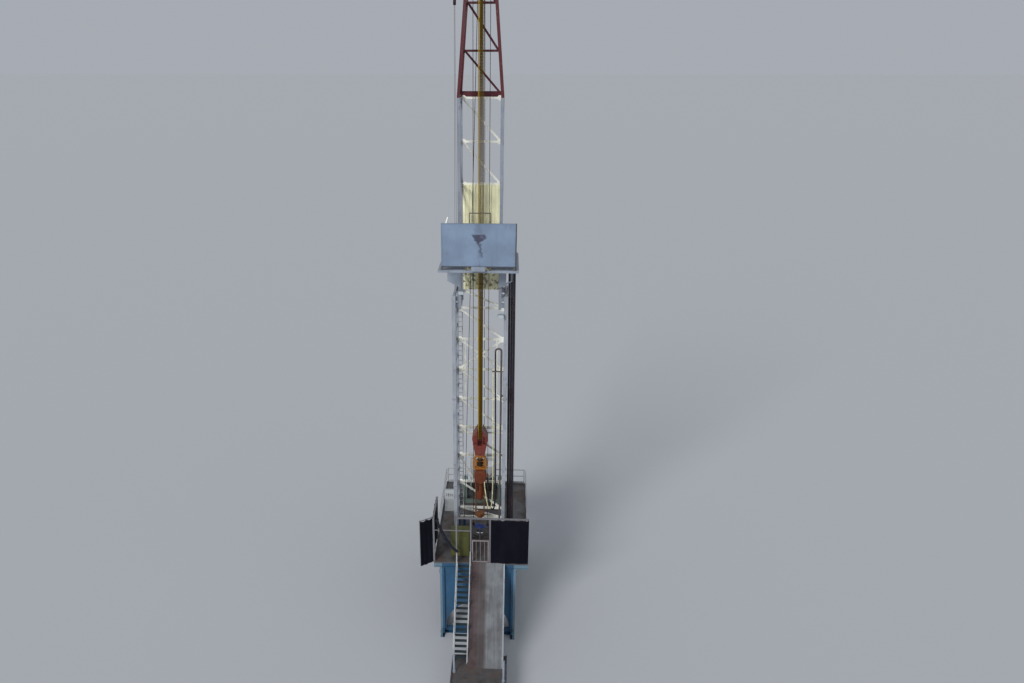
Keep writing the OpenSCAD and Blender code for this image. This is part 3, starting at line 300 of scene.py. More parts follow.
def cloth(name, colour):
    """Coated tarpaulin: a fine weave, dust in the folds and a dull sheen."""
    f = Finish(name)
    weave = f.noise(220, 2)
    dust = f.ramp(f.noise(1.2, 6, (1, 1, 0.35)), 0.42, 0.75, 0, 0.55)
    f.bump(f.math("ADD", weave, f.noise(5, 4)), 0.3, 0.004)
    f.shader.inputs["Sheen Weight"].default_value = 0.03
    f.shader.inputs["Specular IOR Level"].default_value = 0.25
    return f.done(f.mix(dust, colour, (0.013, 0.014, 0.028)), 0.65)


def pale_floor():
    return Finish("floor_tone").done((0.47, 0.48, 0.5), 0.95)


# Finishes of the record's slots, then the further ones that some pieces wear: the function and its values
LOOKS = {
    "blue_paint": (paint, (0.026, 0.095, 0.185), 0.7, 0.5, 0.4, post_tone),
    "white_paint": (paint, (0.4, 0.42, 0.43), 0.6, 0.45),
    "mast_grey": (paint, (0.31, 0.335, 0.37), 0.5, 0.3, 0.4, leg_tone),
    "red_paint": (paint, (0.085, 0.006, 0.012), 0.4, 0.35),
    "pale_panel": (paint, (0.95, 0.91, 0.6), 0.1, 0.12, 0.5, panel_wear),
    "board_grey": (paint, (0.198, 0.268, 0.372), 0.25, 0.1, 0.5, dark_wedge),
    "tarp": (cloth, (0.0045, 0.0045, 0.013)),
    "worn_steel": (steel, (0.125, 0.12, 0.12), 0.4, 0.5, 0.45, checker),
    "dark_pipe": (steel, (0.03, 0.028, 0.038), 0.8, 0.25, 0.4),
    "hook_gold": (paint, (0.32, 0.12, 0.013), 0.9, 0.5),
    "drive_brown": (paint, (0.15, 0.034, 0.011), 0.8, 0.45),
    # the second colour is a painted highlight for the ropes at the left side
    "line_wire": (wire, (0.105, 0.064, 0.003), (0.36, 0.23, 0.012)),
    "dark_wire": (wire, (0.045, 0.03, 0.034)),
    "hose_rubber": (rubber, (0.01, 0.01, 0.013)),
    "pale_rubber": (rubber, (0.62, 0.58, 0.3)),
    "machine_paint": (paint, (0.12, 0.17, 0.15), 0.7, 0.6),
    "wall_steel": (paint, (0.17, 0.17, 0.185), 0.8, 0.6),
    "board_steel": (paint, (0.16, 0.19, 0.23), 0.7, 0.5),
    "hoop_steel": (paint, (0.13, 0.11, 0.085), 0.7, 0.5),
    # painted shade: the upper legs' white paint is given this darker grey, standing in for the shade on them
    "leg_paint_with_shade": (paint, (0.26, 0.285, 0.33), 0.5, 0.3, 0.4, leg_tone),
    "lattice_white": (paint, (0.98, 0.97, 0.84), 0.1, 0.06),
    "ramp_plate_steel": (steel, (0.135, 0.145, 0.155), 0.9, 0.2, 0.6, None, skid_marks),
    "ramp_strip_steel": (steel, (0.072, 0.052, 0.055), 0.7, 0.12, 0.6),
    "tread_steel": (steel, (0.055, 0.08, 0.09), 0.5, 0.3, 0.5, checker),
    "lamp_glass": (paint, (0.42, 0.46, 0.47), 0, 0.1, 0.15),
    "pale_blue": (paint, (0.27, 0.31, 0.37), 0.4, 0.3),
    "olive_paint": (paint, (0.07, 0.075, 0.018), 0.9, 1.0),
    "signal_red": (paint, (0.1, 0.008, 0.018), 0.3, 0.4),
    "block_red": (paint, (0.17, 0.03, 0.022), 0.6, 0.5),
    "link_orange": (paint, (0.17, 0.062, 0.016), 0.9, 0.5),
    "gate_rose": (paint, (0.26, 0.22, 0.225), 0.7, 0.5),
    "roll_cloth": (cloth, (0.035, 0.04, 0.062)),
    "tong_blue": (paint, (0.012, 0.035, 0.16), 0.5, 0.4),
    "dark_grease": (steel, (0.018, 0.014, 0.012), 0.8, 0.3, 0.5),
    "dull_metal": (steel, (0.1, 0.11, 0.13), 0.6, 0.3, 0.5),
}
# Nodes that wear another finish than their slot's
NODE_LOOKS = {
    "mast_lower_rear": "lattice_white",
    "mast_upper_rear": "lattice_white",
    "ramp_plate": "ramp_plate_steel",
    "ramp_strip": "ramp_strip_steel",
    "stair_treads": "tread_steel",
    "board_wings": "pale_blue",
    "travelling_block": "block_red",
    "elevator_links": "link_orange",
    "v_door_gate": "gate_rose",
    "windwall_frame": "wall_steel",
    "monkey_board": "pale_blue",
    "mast_guides": "leg_paint_with_shade",
    "diving_board": "pale_blue",
    "board_knee_braces": "pale_blue",
    "board_posts": "hoop_steel",
    "board_fingers": "board_steel",
    "mast_upper_left": "leg_paint_with_shade",
    "mast_upper_right": "leg_paint_with_shade",
}
made_looks = {}


def look(name):
    """The finish of that name, made at its first use."""
    if name not in made_looks:
        make, *values = LOOKS[name]
        made_looks[name] = make(name, *values)
    return made_looks[name]


def dress_nodes():
    """Every CAD node gets its slot's material, or the one that is named for it here."""
    for row in frame["record"]["subparts"]:
        name = row["node"]
        mesh = frame["nodes"][name].data
        mesh.materials.clear()
        mesh.materials.append(look(NODE_LOOKS.get(name, row["material_slot"])))


# How deep the grooves between a rope's strands are, as a share of its radius; the usual bolt's head
LOBE_DEPTH = 0.09
BOLT_R = 0.014
BOLT_H = 0.012


def circle(centre, across, up, radius, count, closed=False):
    """Points round a centre; a closed circle ends where it starts."""
    angles = [tau * k / count for k in range(count + closed)]
    return [Vector(centre) + radius * (cos(a) * across + sin(a) * up) for a in angles]


class Shape:
    """The mesh of one piece, collected from simple forms; places are in metres."""

    def __init__(self):
        self.mesh = bmesh.new()

    def box(self, corner, opposite, bevel=0.0):
        """A box between two opposite corners, in either order."""
        low = Vector(tuple(map(min, corner, opposite)))
        high = Vector(tuple(map(max, corner, opposite)))
        self.cube(Matrix.Translation((low + high) / 2) @ Matrix.Diagonal((*(high - low), 1)), bevel)

    def cube(self, matrix, bevel=0.0):
        made = bmesh.ops.create_cube(self.mesh, size=1, matrix=matrix)["verts"]
        if bevel:
            edges = list({edge for vert in made for edge in vert.link_edges})
            bmesh.ops.bevel(self.mesh, geom=edges, offset=bevel, segments=2, affect="EDGES")

    def bar(self, start, end, width, thick, up=Z):
        """A square bar; its width lies across the way and across up."""
        start, end = Vector(start), Vector(end)
        way = end - start
        side = way.cross(Vector(up)).normalized()
        top = side.cross(way).normalized()
        turn = Matrix((side, way.normalized(), top)).transposed().to_4x4()
        size = Matrix.Diagonal((width, way.length, thick, 1))
        self.cube(Matrix.Translation((start + end) / 2) @ turn @ size)

    def rod(self, start, end, radius, sides=12):
        start, end = Vector(start), Vector(end)
        way = end - start
        turn = way.to_track_quat("Z", "Y").to_matrix().to_4x4()
        bmesh.ops.create_cone(self.mesh, cap_ends=True, segments=sides, radius1=radius, radius2=radius,
                              depth=way.length, matrix=Matrix.Translation((start + end) / 2) @ turn)

    def bolts(self, places, facing, radius=BOLT_R, height=BOLT_H):
        """Hexagon heads that stand on a face."""
        for place in places:
            self.rod(place, Vector(place) + Vector(facing) * height, radius, 6)

    def prism(self, outline, axis, low, high):
        """An outline in the plane across an axis, drawn out from low to high."""
        self.skin([[(*point[:axis], depth, *point[axis:]) for point in outline] for depth in (low, high)])

    def turned(self, centre, facing, profile, sides=32):
        """A profile of (radius, height) pairs turned round an axis."""
        facing = Vector(facing).normalized()
        side = facing.orthogonal().normalized()
        other = facing.cross(side)
        self.skin([circle(Vector(centre) + facing * height, side, other, radius, sides)
                   for radius, height in profile])

    def skin(self, rings):
        """Joins closed rings of like counts and caps both ends."""
        rings = [[self.mesh.verts.new(point) for point in ring] for ring in rings]
        sides = len(rings[0])
        for a, b in zip(rings, rings[1:]):
            for k in range(sides):
                n = (k + 1) % sides
                self.mesh.faces.new((a[k], a[n], b[n], b[k]))
        self.mesh.faces.new(rings[0][::-1])
        self.mesh.faces.new(rings[-1])

    def tube(self, path, radius, sides=12, lobes=0, lay=0.2):
        """A tube along points; with lobes it is a rope of that many strands, twisted once each lay."""
        path = [Vector(point) for point in path]
        angles = [tau * k / sides for k in range(sides)]
        rings = []
        side = None
        run = 0.0
        for i, point in enumerate(path):
            way = (path[min(i + 1, len(path) - 1)] - path[max(i - 1, 0)]).normalized()
            if side is None:
                side = way.orthogonal().normalized()
            side = (side - way * side.dot(way)).normalized()
            other = way.cross(side)
            run += (point - path[i - 1]).length if i else 0
            twist = tau * run / lay if lobes else 0
            rings.append([point + radius * (1 - LOBE_DEPTH * (1 - cos(lobes * a)))
                          * (cos(a + twist) * side + sin(a + twist) * other) for a in angles])
        self.skin(rings)

    def cloth(self, place, columns, rows, thick=0.004):
        """A thin closed sheet over place(u, v), with u across and v down, both from 0 to 1."""
        grid = [[self.mesh.verts.new(place(i / columns, j / rows)) for i in range(columns + 1)]
                for j in range(rows + 1)]
        faces = [self.mesh.faces.new((grid[j][i], grid[j][i + 1], grid[j + 1][i + 1], grid[j + 1][i]))
                 for j in range(rows) for i in range(columns)]
        bmesh.ops.solidify(self.mesh, geom=faces, thickness=thick)

    def done(self, name, slot, material=None, body="root", smooth=False, replaces=()):
        """Makes the object, gives it its finish and lets it ride on a body, if one is named."""
        data = bpy.data.meshes.new(name)
        bmesh.ops.recalc_face_normals(self.mesh, faces=self.mesh.faces)
        self.mesh.to_mesh(data)
        self.mesh.free()
        made = add(name, data)
        data.materials.append(look(material or slot))
        for polygon in data.polygons:
            polygon.use_smooth = smooth
        if body:
            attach(made, body)
        if replaces:
            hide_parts(*replaces)
        return made


def smooth_path(points, step):
    """Points at even steps on a smooth curve through the given ones."""
    pts = [Vector(p) for p in points]
    out = []
    for i in range(len(pts) - 1):
        a, b = pts[max(i - 1, 0)], pts[i]
        c, d = pts[i + 1], pts[min(i + 2, len(pts) - 1)]
        count = max(1, round((c - b).length / step))
        for k in range(count):
            t = k / count
            out.append(0.5 * ((2 * b) + (c - a) * t + (2 * a - 5 * b + 4 * c - d) * t * t
                              + (3 * b - a - 3 * c + d) * t ** 3))
    out.append(pts[-1])
    return out


# Routes of the two hanging hoses: the same points as in the part's source, in metres
HOSE = [(0.885, -2.4, 17.7996), (0.885, -2.4, 17.3), (0.89, -2.39, 16.3), (0.905, -2.36, 14.8),
        (0.92, -2.32, 13.2), (0.93, -2.28, 11.6), (0.94, -2.25, 10.2), (0.945, -2.22, 9.0),
        (0.93, -2.17, 8.1), (0.88, -2.09, 7.56), (0.79, -1.98, 7.32), (0.69, -1.87, 7.34),
        (0.59, -1.76, 7.62), (0.51, -1.66, 8.15), (0.475, -1.6, 8.8), (0.47, -1.58, 9.2),
        (0.47, -1.58, 9.3896)]
LOOP = [(0.76, -2.48, 16.5996), (0.76, -2.475, 16.0), (0.765, -2.45, 14.8), (0.775, -2.42, 13.4),
        (0.785, -2.39, 12.0), (0.79, -2.36, 10.6), (0.785, -2.32, 9.3), (0.765, -2.28, 8.3),
        (0.71, -2.22, 7.7), (0.62, -2.14, 7.48), (0.52, -2.05, 7.56), (0.43, -1.96, 7.95),
        (0.35, -1.88, 8.45), (0.3, -1.79, 8.78), (0.28, -1.715, 9.0), (0.28, -1.715, 9.0996)]
HOSE_RADIUS = 0.045
LOOP_RADIUS = 0.028
HOSE_STEP = 0.1
HOSE_LAY = 2.0


def make_hose(name, node, route, radius, slot, lobes=0):
    """A hanging hose that hands over from the mast to the hoist between two points."""
    path = smooth_path(route, HOSE_STEP)
    shape = Shape()
    shape.tube(path, radius, 18, lobes, HOSE_LAY)
    hose = shape.done(name, slot, body=None, smooth=True, replaces=[node])
    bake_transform(hose)


SHEAVE_PITCH = 0.064
BLOCK_SHEAVES = 4
ROPE_RADIUS = 0.023
ROPE_LAY = 0.9
STRANDS = 6
BLOCK_REACH = 0.3164
CROWN_REACH = 0.4164
LAST_LINE_Y = -0.9736


def straight(start, end, step=0.06):
    start, end = Vector(start), Vector(end)
    count = max(2, round((end - start).length / step))
    return [start.lerp(end, k / count) for k in range(count + 1)]


def make_lines():
    """Eight wire ropes from the block to the crown."""
    low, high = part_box("drill_lines")
    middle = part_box("hook")[0].lerp(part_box("hook")[1], 0.5).y
    outer = BLOCK_SHEAVES / 2 * SHEAVE_PITCH
    shape = Shape()
    for side in (-1, 1):
        for i in range(BLOCK_SHEAVES):
            x = (i - (BLOCK_SHEAVES - 1) / 2) * SHEAVE_PITCH
            top_x = (i + (side + 1) / 2) * SHEAVE_PITCH - outer
            last = side > 0 and i == BLOCK_SHEAVES - 1
            top_y = LAST_LINE_Y if last else middle + side * CROWN_REACH
            shape.tube(straight((x, middle + side * BLOCK_REACH, low.z), (top_x, top_y, high.z)),
                       ROPE_RADIUS, 12, STRANDS, ROPE_LAY)
    lines = shape.done("drill_line_ropes", "line_wire", smooth=True, replaces=["drill_lines"])
    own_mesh(lines)


FLOOR_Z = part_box("drill_floor")[1].z
FRONT_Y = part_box("windwall_front")[1].y
# The middle of the rotary bore
WELL_Y = -1.35

CLOTH_COLUMN = 0.04
CLOTH_ROW = 0.045
EYELET_R = 0.014
EYELET_WIRE_R = 0.004
LACE_R = 0.006


def hang(name, node, corner, across, down, out, ties, phase):
    """A tarpaulin laced to a frame: it sags between its ties and falls in soft folds."""
    corner, across, down, out = map(Vector, (corner, across, down, out))
    side, fall = across.normalized(), down.normalized()

    def place(u, v):
        lace = sin(pi * u * (ties - 1)) ** 2
        pull = exp(-5 * v)
        fold = sin(tau * (2.6 * u + 0.25 * v) + phase)
        crease = noise.noise(Vector((5 * u + phase, 2.2 * v, phase)))
        drag = noise.noise(Vector((9 * u + 4 * v, 6 * v - 3 * u, phase + 5)))
        hem = sin(pi * u) ** 0.3
        depth = 0.008 + hem * (0.022 * (1 + fold) * (0.35 + 0.65 * v) + 0.03 * abs(crease)
                               + 0.014 * abs(drag)) + 0.01 * pull * lace
        lift = -0.045 * lace * exp(-16 * v) + 0.025 * v * noise.noise(Vector((3 * u, phase, 0)))
        return corner + across * u + down * v + out * depth - fall * lift

    shape = Shape()
    shape.cloth(place, max(12, round(across.length / CLOTH_COLUMN)), round(down.length / CLOTH_ROW))
    sheet = shape.done(name, "tarp", smooth=True, replaces=[node])
    rings, lacing = Shape(), Shape()
    for k in range(ties):
        at = place(min(max(k / (ties - 1), 0.015), 0.985), 0.012)
        rings.tube(circle(at + out * EYELET_WIRE_R, side, fall, EYELET_R, 12, True), EYELET_WIRE_R, 6)
        top = at - fall * 0.09 - out * 0.045
        back = at - out * 0.11
        loop = [at + out * 0.006, at - fall * 0.06 + out * 0.012, top + out * 0.02, top - out * 0.05,
                back - fall * 0.03, back]
        lacing.tube(smooth_path(loop, 0.02), LACE_R, 6)
    rings.done(name + "_eyelets", "worn_steel", smooth=True)
    lacing.done(name + "_lacing", "dark_wire", smooth=True)


# The wing's direction and length, as in the part's source
FLAP_TURN = 215
FLAP_L = 0.86
SIDE_GAP = 0.16
TARP_GAP = 0.02


def make_tarps():
    """The right front sheet, the left side sheet and the one on the wing."""
    low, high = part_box("windwall_front")
    hang("tarp_front", "windwall_front", (low.x, high.y, high.z), (high.x - low.x, 0, 0),
         (0, 0, low.z - high.z), -Y, 6, 0.4)
    low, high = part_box("windwall_left")
    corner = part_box("drill_floor")[0].x
    top = high.z - TARP_GAP
    hang("tarp_side", "windwall_left", (corner - 0.001, high.y, top), (0, FRONT_Y + SIDE_GAP - high.y, 0),
         (0, 0, low.z - top), -X, 6, 1.7)
    turn = radians(FLAP_TURN)
    way = Vector((cos(turn), sin(turn), 0))
    out = Vector((-sin(turn), cos(turn), 0))
    start = Vector((corner, FRONT_Y, high.z)) + way * TARP_GAP + out * 0.002
    hang("tarp_wing", "windwall_left", start, way * FLAP_L * 0.97, (0, 0, low.z - high.z), out, 3,
         2.9)


ROLL_ROUTE = [(-2.36, -4.5, 8.22), (-2.31, -4.5, 8.0), (-2.14, -4.5, 7.45), (-1.82, -4.5, 6.75),
              (-1.45, -4.5, 6.25), (-1.16, -4.5, 5.97)]
ROLL_TURNS = 2.2
ROLL_TIES = (0.04, 0.34, 0.66, 0.95)
TIE_RING_R = 0.105
TIE_R = 0.007


def make_rolled_cloth():
    """A rolled-up sheet that hangs in a slack bow from the left post to the stair's post."""
    path = smooth_path(ROLL_ROUTE, 0.05)
    last = len(path) - 1

    def place(u, v):
        k = v * last
        i = min(int(k), last - 1)
        centre = path[i].lerp(path[i + 1], k - i)
        side = (path[i + 1] - path[i]).normalized().cross(Y).normalized()
        angle = tau * ROLL_TURNS * u
        girth = 0.026 + 0.068 * u + 0.018 * sin(9 * v + 3 * u) * u
        loose = 1 + 0.25 * noise.noise(Vector((3 * cos(angle), 3 * sin(angle), 6 * v)))
        return centre + girth * loose * (cos(angle) * side + sin(angle) * Y)

    shape = Shape()
    shape.cloth(place, 64, 60, 0.003)
    roll = shape.done("rolled_sheet", "tarp", "roll_cloth", smooth=True)
    ties = Shape()
    for share in ROLL_TIES:
        i = round(share * last)
        side = (path[min(i + 1, last)] - path[0]).normalized().cross(Y).normalized()
        ties.tube(circle(path[i], side, Y, TIE_RING_R, 20, True), TIE_R, 6)
    for end in (path[0], path[-1]):
        ties.tube([end, end + Vector((0.0, 0.05, 0.02)), end + Vector((0.0, 0.09, 0.03))], 0.008, 6)
    ties.done("rolled_sheet_ties", "dark_wire", smooth=True)


STRIP = 0.05
STRIP_OUT = 0.012
SEAM_HALF = 0.018
HEAD_COUNT = 24
HEAD_PITCH = 0.18


def make_windwall():
    """Edge angles, seams and bolts on the board's windwall, its dark edge and a stay at the left."""
    low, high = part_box("board_windwall")
    y = low.y
    width = high.x - low.x
    strips = Shape()
    for z in (low.z, high.z - STRIP):
        strips.box((low.x, y - STRIP_OUT, z), (high.x, y, z + STRIP), 0.003)
    for x in (low.x, high.x - STRIP):
        strips.box((x, y - STRIP_OUT, low.z + STRIP), (x + STRIP, y, high.z - STRIP), 0.003)
    for k in (1, 2, 3):
        x = low.x + width * k / 4
        strips.box((x - SEAM_HALF, y - STRIP_OUT / 2, low.z + STRIP), (x + SEAM_HALF, y, high.z - STRIP))
    heads = [(low.x + width * (k + 0.5) / HEAD_COUNT, y - STRIP_OUT, z) for k in range(HEAD_COUNT)
             for z in (low.z + STRIP / 2, high.z - STRIP / 2)]
    heads += [(x, y - STRIP_OUT, low.z + HEAD_PITCH * k) for x in (low.x + STRIP / 2, high.x - STRIP / 2)
              for k in range(1, 12)]
    strips.bolts(heads, -Y, 0.011, 0.008)
    strips.done("windwall_strips", "board_grey")
    edge = Shape()
    edge.box((high.x + 0.002, y + 0.005, low.z - 0.05), (high.x + 0.062, y + 0.065, high.z + 0.02), 0.006)
    edge.box((low.x, y + 0.005, low.z - 0.045), (high.x, y + 0.03, low.z - 0.002))
    for z in (low.z + 0.3, low.z + 1.0, low.z + 1.8):
        edge.box((high.x - 0.03, y + 0.04, z), (high.x + 0.002, y + 0.055, z + 0.08))
    edge.done("windwall_edge", "white_paint", "dull_metal")
    stay = Shape()
    head = (-1.62, y + 0.09, high.z - 0.02)
    stay.bar(head, (-1.56, y + 0.5, high.z + 0.22), 0.05, 0.03)
    stay.bar(head, (-1.66, y + 0.09, high.z - 0.5), 0.05, 0.03)
    stay.done("windwall_stay", "white_paint", "lattice_white")


PANEL_RIB = 0.2
PANEL_RIB_OUT = 0.035
PANEL_THICK = 0.012
PANEL_CLEAR = 0.03
PANEL_SIDE = 0.005


def make_rear_panel():
    """The ribbed sheet hangs in front of the rear bars and hides them."""
    low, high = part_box("board_rear_panel")
    bars_low, bars_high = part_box("mast_upper_rear")
    half = bars_high.x - PANEL_SIDE
    y = bars_low.y - PANEL_CLEAR
    sheet = Shape()
    sheet.box((-half, y - PANEL_THICK, low.z), (half, y, high.z))
    count = int(2 * half / PANEL_RIB)
    for k in range(count):
        x = (k - (count - 1) / 2) * PANEL_RIB
        outline = [(x - 0.05, y - PANEL_THICK), (x - 0.03, y - PANEL_RIB_OUT), (x + 0.03, y - PANEL_RIB_OUT),
                   (x + 0.05, y - PANEL_THICK)]
        sheet.prism(outline, 2, low.z, high.z)
    sheet.done("rear_panel_sheet", "pale_panel", replaces=["board_rear_panel"])


# Heights of the cross bars in the lower and the upper section
LOW_LEVELS = [19.67 - 1.9 * k for k in range(8)]
UP_LEVELS = [31.145 - 2.2 * k for k in range(5)]
LEG_W = 0.2
SPLICES = (9.2, 14.9)
FLANGE_OUT = 0.03


def gusset(shape, x, y, z, reach, height, thick):
    """A plate with cut corners and six bolts, on the front of a bar's end; reach has a sign."""
    bend, tip = x + reach * 0.6, x + reach
    outline = [(x, z - height), (x, z + height), (bend, z + height), (tip, z + height * 0.45),
               (tip, z - height * 0.45), (bend, z - height)]
    shape.prism(outline, 1, y - thick, y)
    shape.bolts([(x + reach * k, y - thick, z + height * m) for k in (0.2, 0.5, 0.8)
                 for m in (-0.35, 0.35)], -Y)


def make_gussets():
    """Plates at both ends of the rear bars."""
    plates = Shape()
    for node, levels, reach, height, thick in (("mast_lower_rear", LOW_LEVELS[:7], 0.26, 0.17, 0.012),
                                               ("mast_upper_rear", UP_LEVELS, 0.2, 0.13, 0.01)):
        low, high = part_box(node)
        for z in levels:
            for s in (-1, 1):
                gusset(plates, s * high.x, low.y + 0.022 - thick, z, -s * reach, height, thick)
    plates.done("rear_gussets", "white_paint", "lattice_white")


def leg_plate(shape, s, x, y, step, z):
    """A pointed plate with four bolts on a leg's side; step is the way along Y that it points."""
    outline = [(y, z - 0.16), (y, z + 0.16), (y + step * 0.16, z + 0.1), (y + step * 0.22, z),
               (y + step * 0.16, z - 0.1)]
    shape.prism(outline, 0, x, x + s * 0.012)
    shape.bolts([(x + (0.012 if s > 0 else 0), y + step * m, z + n) for m in (0.05, 0.12)
                 for n in (-0.06, 0.06)], s * X, 0.013, 0.012)


def make_leg_plates():
    """Plates where the side bars meet the lower legs, and the flanges of the legs' splices."""
    low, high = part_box("mast_lower_right")
    side = Shape()
    for s in (-1, 1):
        x = s * high.x
        for z in LOW_LEVELS:
            for y, step in ((low.y + LEG_W, 1), (high.y - LEG_W, -1)):
                leg_plate(side, s, x - s * 0.045, y, step, z)
        for z in SPLICES:
            for y in (low.y, high.y - LEG_W):
                for flange in (z - 0.035, z + 0.006):
                    side.box((x + s * FLANGE_OUT, y - FLANGE_OUT, flange),
                             (x - s * (LEG_W + FLANGE_OUT), y + LEG_W + FLANGE_OUT, flange + 0.03), 0.004)
                side.bolts([(x - s * m, y + n, z + 0.036) for m in (-0.015, 0.215)
                            for n in (0.02, 0.1, 0.18)], Z, 0.012, 0.012)
    side.done("leg_plates", "mast_grey")


PIN_X = 1.5
PIN_END = 1.6
PIN_UP = 0.16


def make_foot_pins():
    """Pins with heads and keepers through the feet of the legs."""
    low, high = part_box("mast_lower_right")
    z = low.z + PIN_UP
    pins = Shape()
    for s in (-1, 1):
        keeper = s * (PIN_END - 0.015)
        for y in (low.y + LEG_W / 2, high.y - LEG_W / 2):
            pins.rod((s * PIN_X, y, z), (s * PIN_END, y, z), 0.055, 24)
            pins.rod((s * PIN_END, y, z), (s * (PIN_END + 0.012), y, z), 0.075, 24)
            pins.tube([(keeper, y, z + 0.05), (keeper, y, z + 0.12), (keeper, y + 0.03, z + 0.15),
                       (keeper, y + 0.05, z + 0.1)], 0.006, 6)
    pins.done("foot_pins", "worn_steel")


FLOODLIGHTS = ((1.16, -2.56, 19.92), (-1.01, -2.42, 21.19))
LAMP_HALF = 0.15
GLASS_HALF = 0.13
YOKE_HALF = 0.17


def make_floodlights():
    """Two lamps with cooling fins, yokes and glass at the front of the mast."""
    lamps, glass = Shape(), Shape()
    for x, y, z in FLOODLIGHTS:
        lamps.prism([(y, z - 0.1), (y + 0.03, z + 0.13), (y - 0.14, z + 0.1), (y - 0.17, z - 0.08)], 0,
                    x - LAMP_HALF, x + LAMP_HALF)
        for k in range(6):
            fin = x - GLASS_HALF + 0.05 * k
            lamps.box((fin, y - 0.02, z + 0.1), (fin + 0.01, y + 0.05, z + 0.15))
        for arm in (x - YOKE_HALF, x + YOKE_HALF):
            lamps.bar((arm, y - 0.06, z + 0.02), (arm, y + 0.12, z + 0.02), 0.012, 0.05)
        lamps.bar((x - YOKE_HALF, y + 0.11, z + 0.02), (x + YOKE_HALF, y + 0.11, z + 0.02), 0.012, 0.05)
        glass.prism([(y - 0.146, z + 0.09), (y - 0.15, z + 0.092), (y - 0.178, z - 0.07),
                     (y - 0.172, z - 0.072)], 0, x - GLASS_HALF, x + GLASS_HALF)
    lamps.done("floodlights", "white_paint", "pale_blue")
    glass.done("floodlight_glass", "white_paint", "lamp_glass")


TUGGER_X = 0.44
TUGGER_Y = -0.6
# Fast line, dead line and the two tugger lines: start, end and radius, as in the part's source
FIXED_ROPES = [((0.128, 2.2636, 6.25), (0.128, -0.1408, 38.6), 0.016),
               ((-1.02, -0.56, 5.671), (-0.128, -0.9336, 38.6), 0.016),
               ((-TUGGER_X, TUGGER_Y, 5.45), (-TUGGER_X, -0.812, 37.519), 0.0155),
               ((TUGGER_X, TUGGER_Y, 5.45), (TUGGER_X, -0.812, 37.519), 0.0155)]
FIXED_LAY = 1.3
CLIMBING_LINES = [((-1.24, -2.4, 22.95), (-1.22, -2.3, 38.17)),
                  ((-1.33, -2.4, 22.95), (-1.27, -1.9, 38.17))]


def make_fixed_ropes():
    """Twisted fast line, dead line and tugger lines with their sockets."""
    shape = Shape()
    for start, end, radius in FIXED_ROPES:
        shape.tube(straight(start, end, 0.09), radius, 12, STRANDS, FIXED_LAY)
    for s in (-1, 1):
        foot = Vector((s * TUGGER_X, TUGGER_Y, FLOOR_Z))
        shape.turned(foot, Z, [(0.075, 0.002), (0.075, 0.03), (0.055, 0.04), (0.05, 0.1), (0.03, 0.19),
                               (0.018, 0.24)], 24)
        shape.bolts(circle(foot + 0.03 * Z, X, Y, 0.062, 6), Z, 0.008, 0.01)
    shape.done("fixed_ropes", "dark_wire", smooth=True, replaces=["fixed_lines"])


def make_climbing_lines():
    """Two thin lines from the board to the crown, one with a fall arrester."""
    climb = Shape()
    for start, end in CLIMBING_LINES:
        climb.tube(straight(start, end, 0.3), 0.007, 6)
    climb.box((-1.31, -2.37, 35.4), (-1.17, -2.27, 35.72), 0.02)
    climb.tube([(-1.24, -2.32, 35.7), (-1.235, -2.31, 35.85), (-1.23, -2.31, 36.0)], 0.012, 8)
    climb.done("climbing_lines", "dark_wire", smooth=True)


AXLE_UP = 1.0
CHEEK_X = 0.185


def make_block_fittings():
    """Bolts, a plate's boss and the axle's caps on the block."""
    low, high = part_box("travelling_block")
    middle = Vector((0, (low.y + high.y) / 2, low.z + AXLE_UP))
    trim = Shape()
    for s, y in ((-1, low.y), (1, high.y)):
        for z in (low.z + 0.24, low.z + 0.42, high.z - 0.26):
            trim.bolts([(-0.18, y, z), (0.18, y, z)], (0, s, 0), 0.026, 0.022)
        trim.turned((0, y, low.z + 0.16), (0, s, 0), [(0.1, 0), (0.1, 0.02), (0.06, 0.035), (0.06, 0.05)])
    for s in (-1, 1):
        cap = Vector((s * CHEEK_X, middle.y, middle.z))
        trim.turned(cap, s * X, [(0.13, 0), (0.13, 0.02), (0.1, 0.03), (0.075, 0.075)])
        trim.bolts(circle(cap + s * 0.02 * X, Y, Z, 0.1, 6), s * X)
    trim.done("block_pins", "red_paint", "block_red", body="hoist")


SPRING_COILS = 5
HOOK_PIN_X = 0.33


def make_hook_fittings():
    """The hook's barrel and spring in its window, its pins and its latch."""
    low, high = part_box("hook")
    foot = Vector((0, (low.y + high.y) / 2, low.z))
    barrel = Shape()
    barrel.box((-0.275, low.y + 0.02, low.z + 0.13), (0.275, high.y - 0.02, low.z + 0.61), 0.04)
    barrel.done("hook_barrel", "hook_gold", body="hoist")
    dark = Shape()
    dark.turned(foot + 0.56 * Z, Z, [(0.15, 0), (0.17, 0.03), (0.17, 0.1), (0.12, 0.16), (0.12, 0.22)])
    for k in range(SPRING_COILS):
        dark.turned(foot + (0.25 + 0.06 * k) * Z, Z, [(0.215, 0), (0.225, 0.015), (0.215, 0.03)])
    dark.done("hook_spring", "hook_gold", "dark_grease", body="hoist")
    latch = Shape()
    z0 = low.z
    for s in (-1, 1):
        for z in (z0 + 0.07, z0 + 0.72):
            latch.rod((s * HOOK_PIN_X, low.y - 0.03, z), (s * HOOK_PIN_X, high.y + 0.03, z), 0.035, 20)
        latch.tube(smooth_path([(s * 0.405, WELL_Y, z0 + 0.12), (s * 0.425, WELL_Y, z0 + 0.4),
                                (s * 0.39, WELL_Y, z0 + 0.72)], 0.04), 0.018, 8)
    latch.bar((0.1, low.y - 0.01, z0 + 0.33), (0.26, low.y - 0.03, z0 + 0.4), 0.05, 0.04)
    latch.done("hook_latch", "hook_gold", body="hoist")


DRIVE_Y = -1.68
MOTOR_X = 0.27
MOTOR_Y = -1.12
MOTOR_FINS = 7
HANDLER_R = 0.2
HANDLER_RODS = 10
DRIVE_PIPES = (-0.2, -0.12, 0.17)


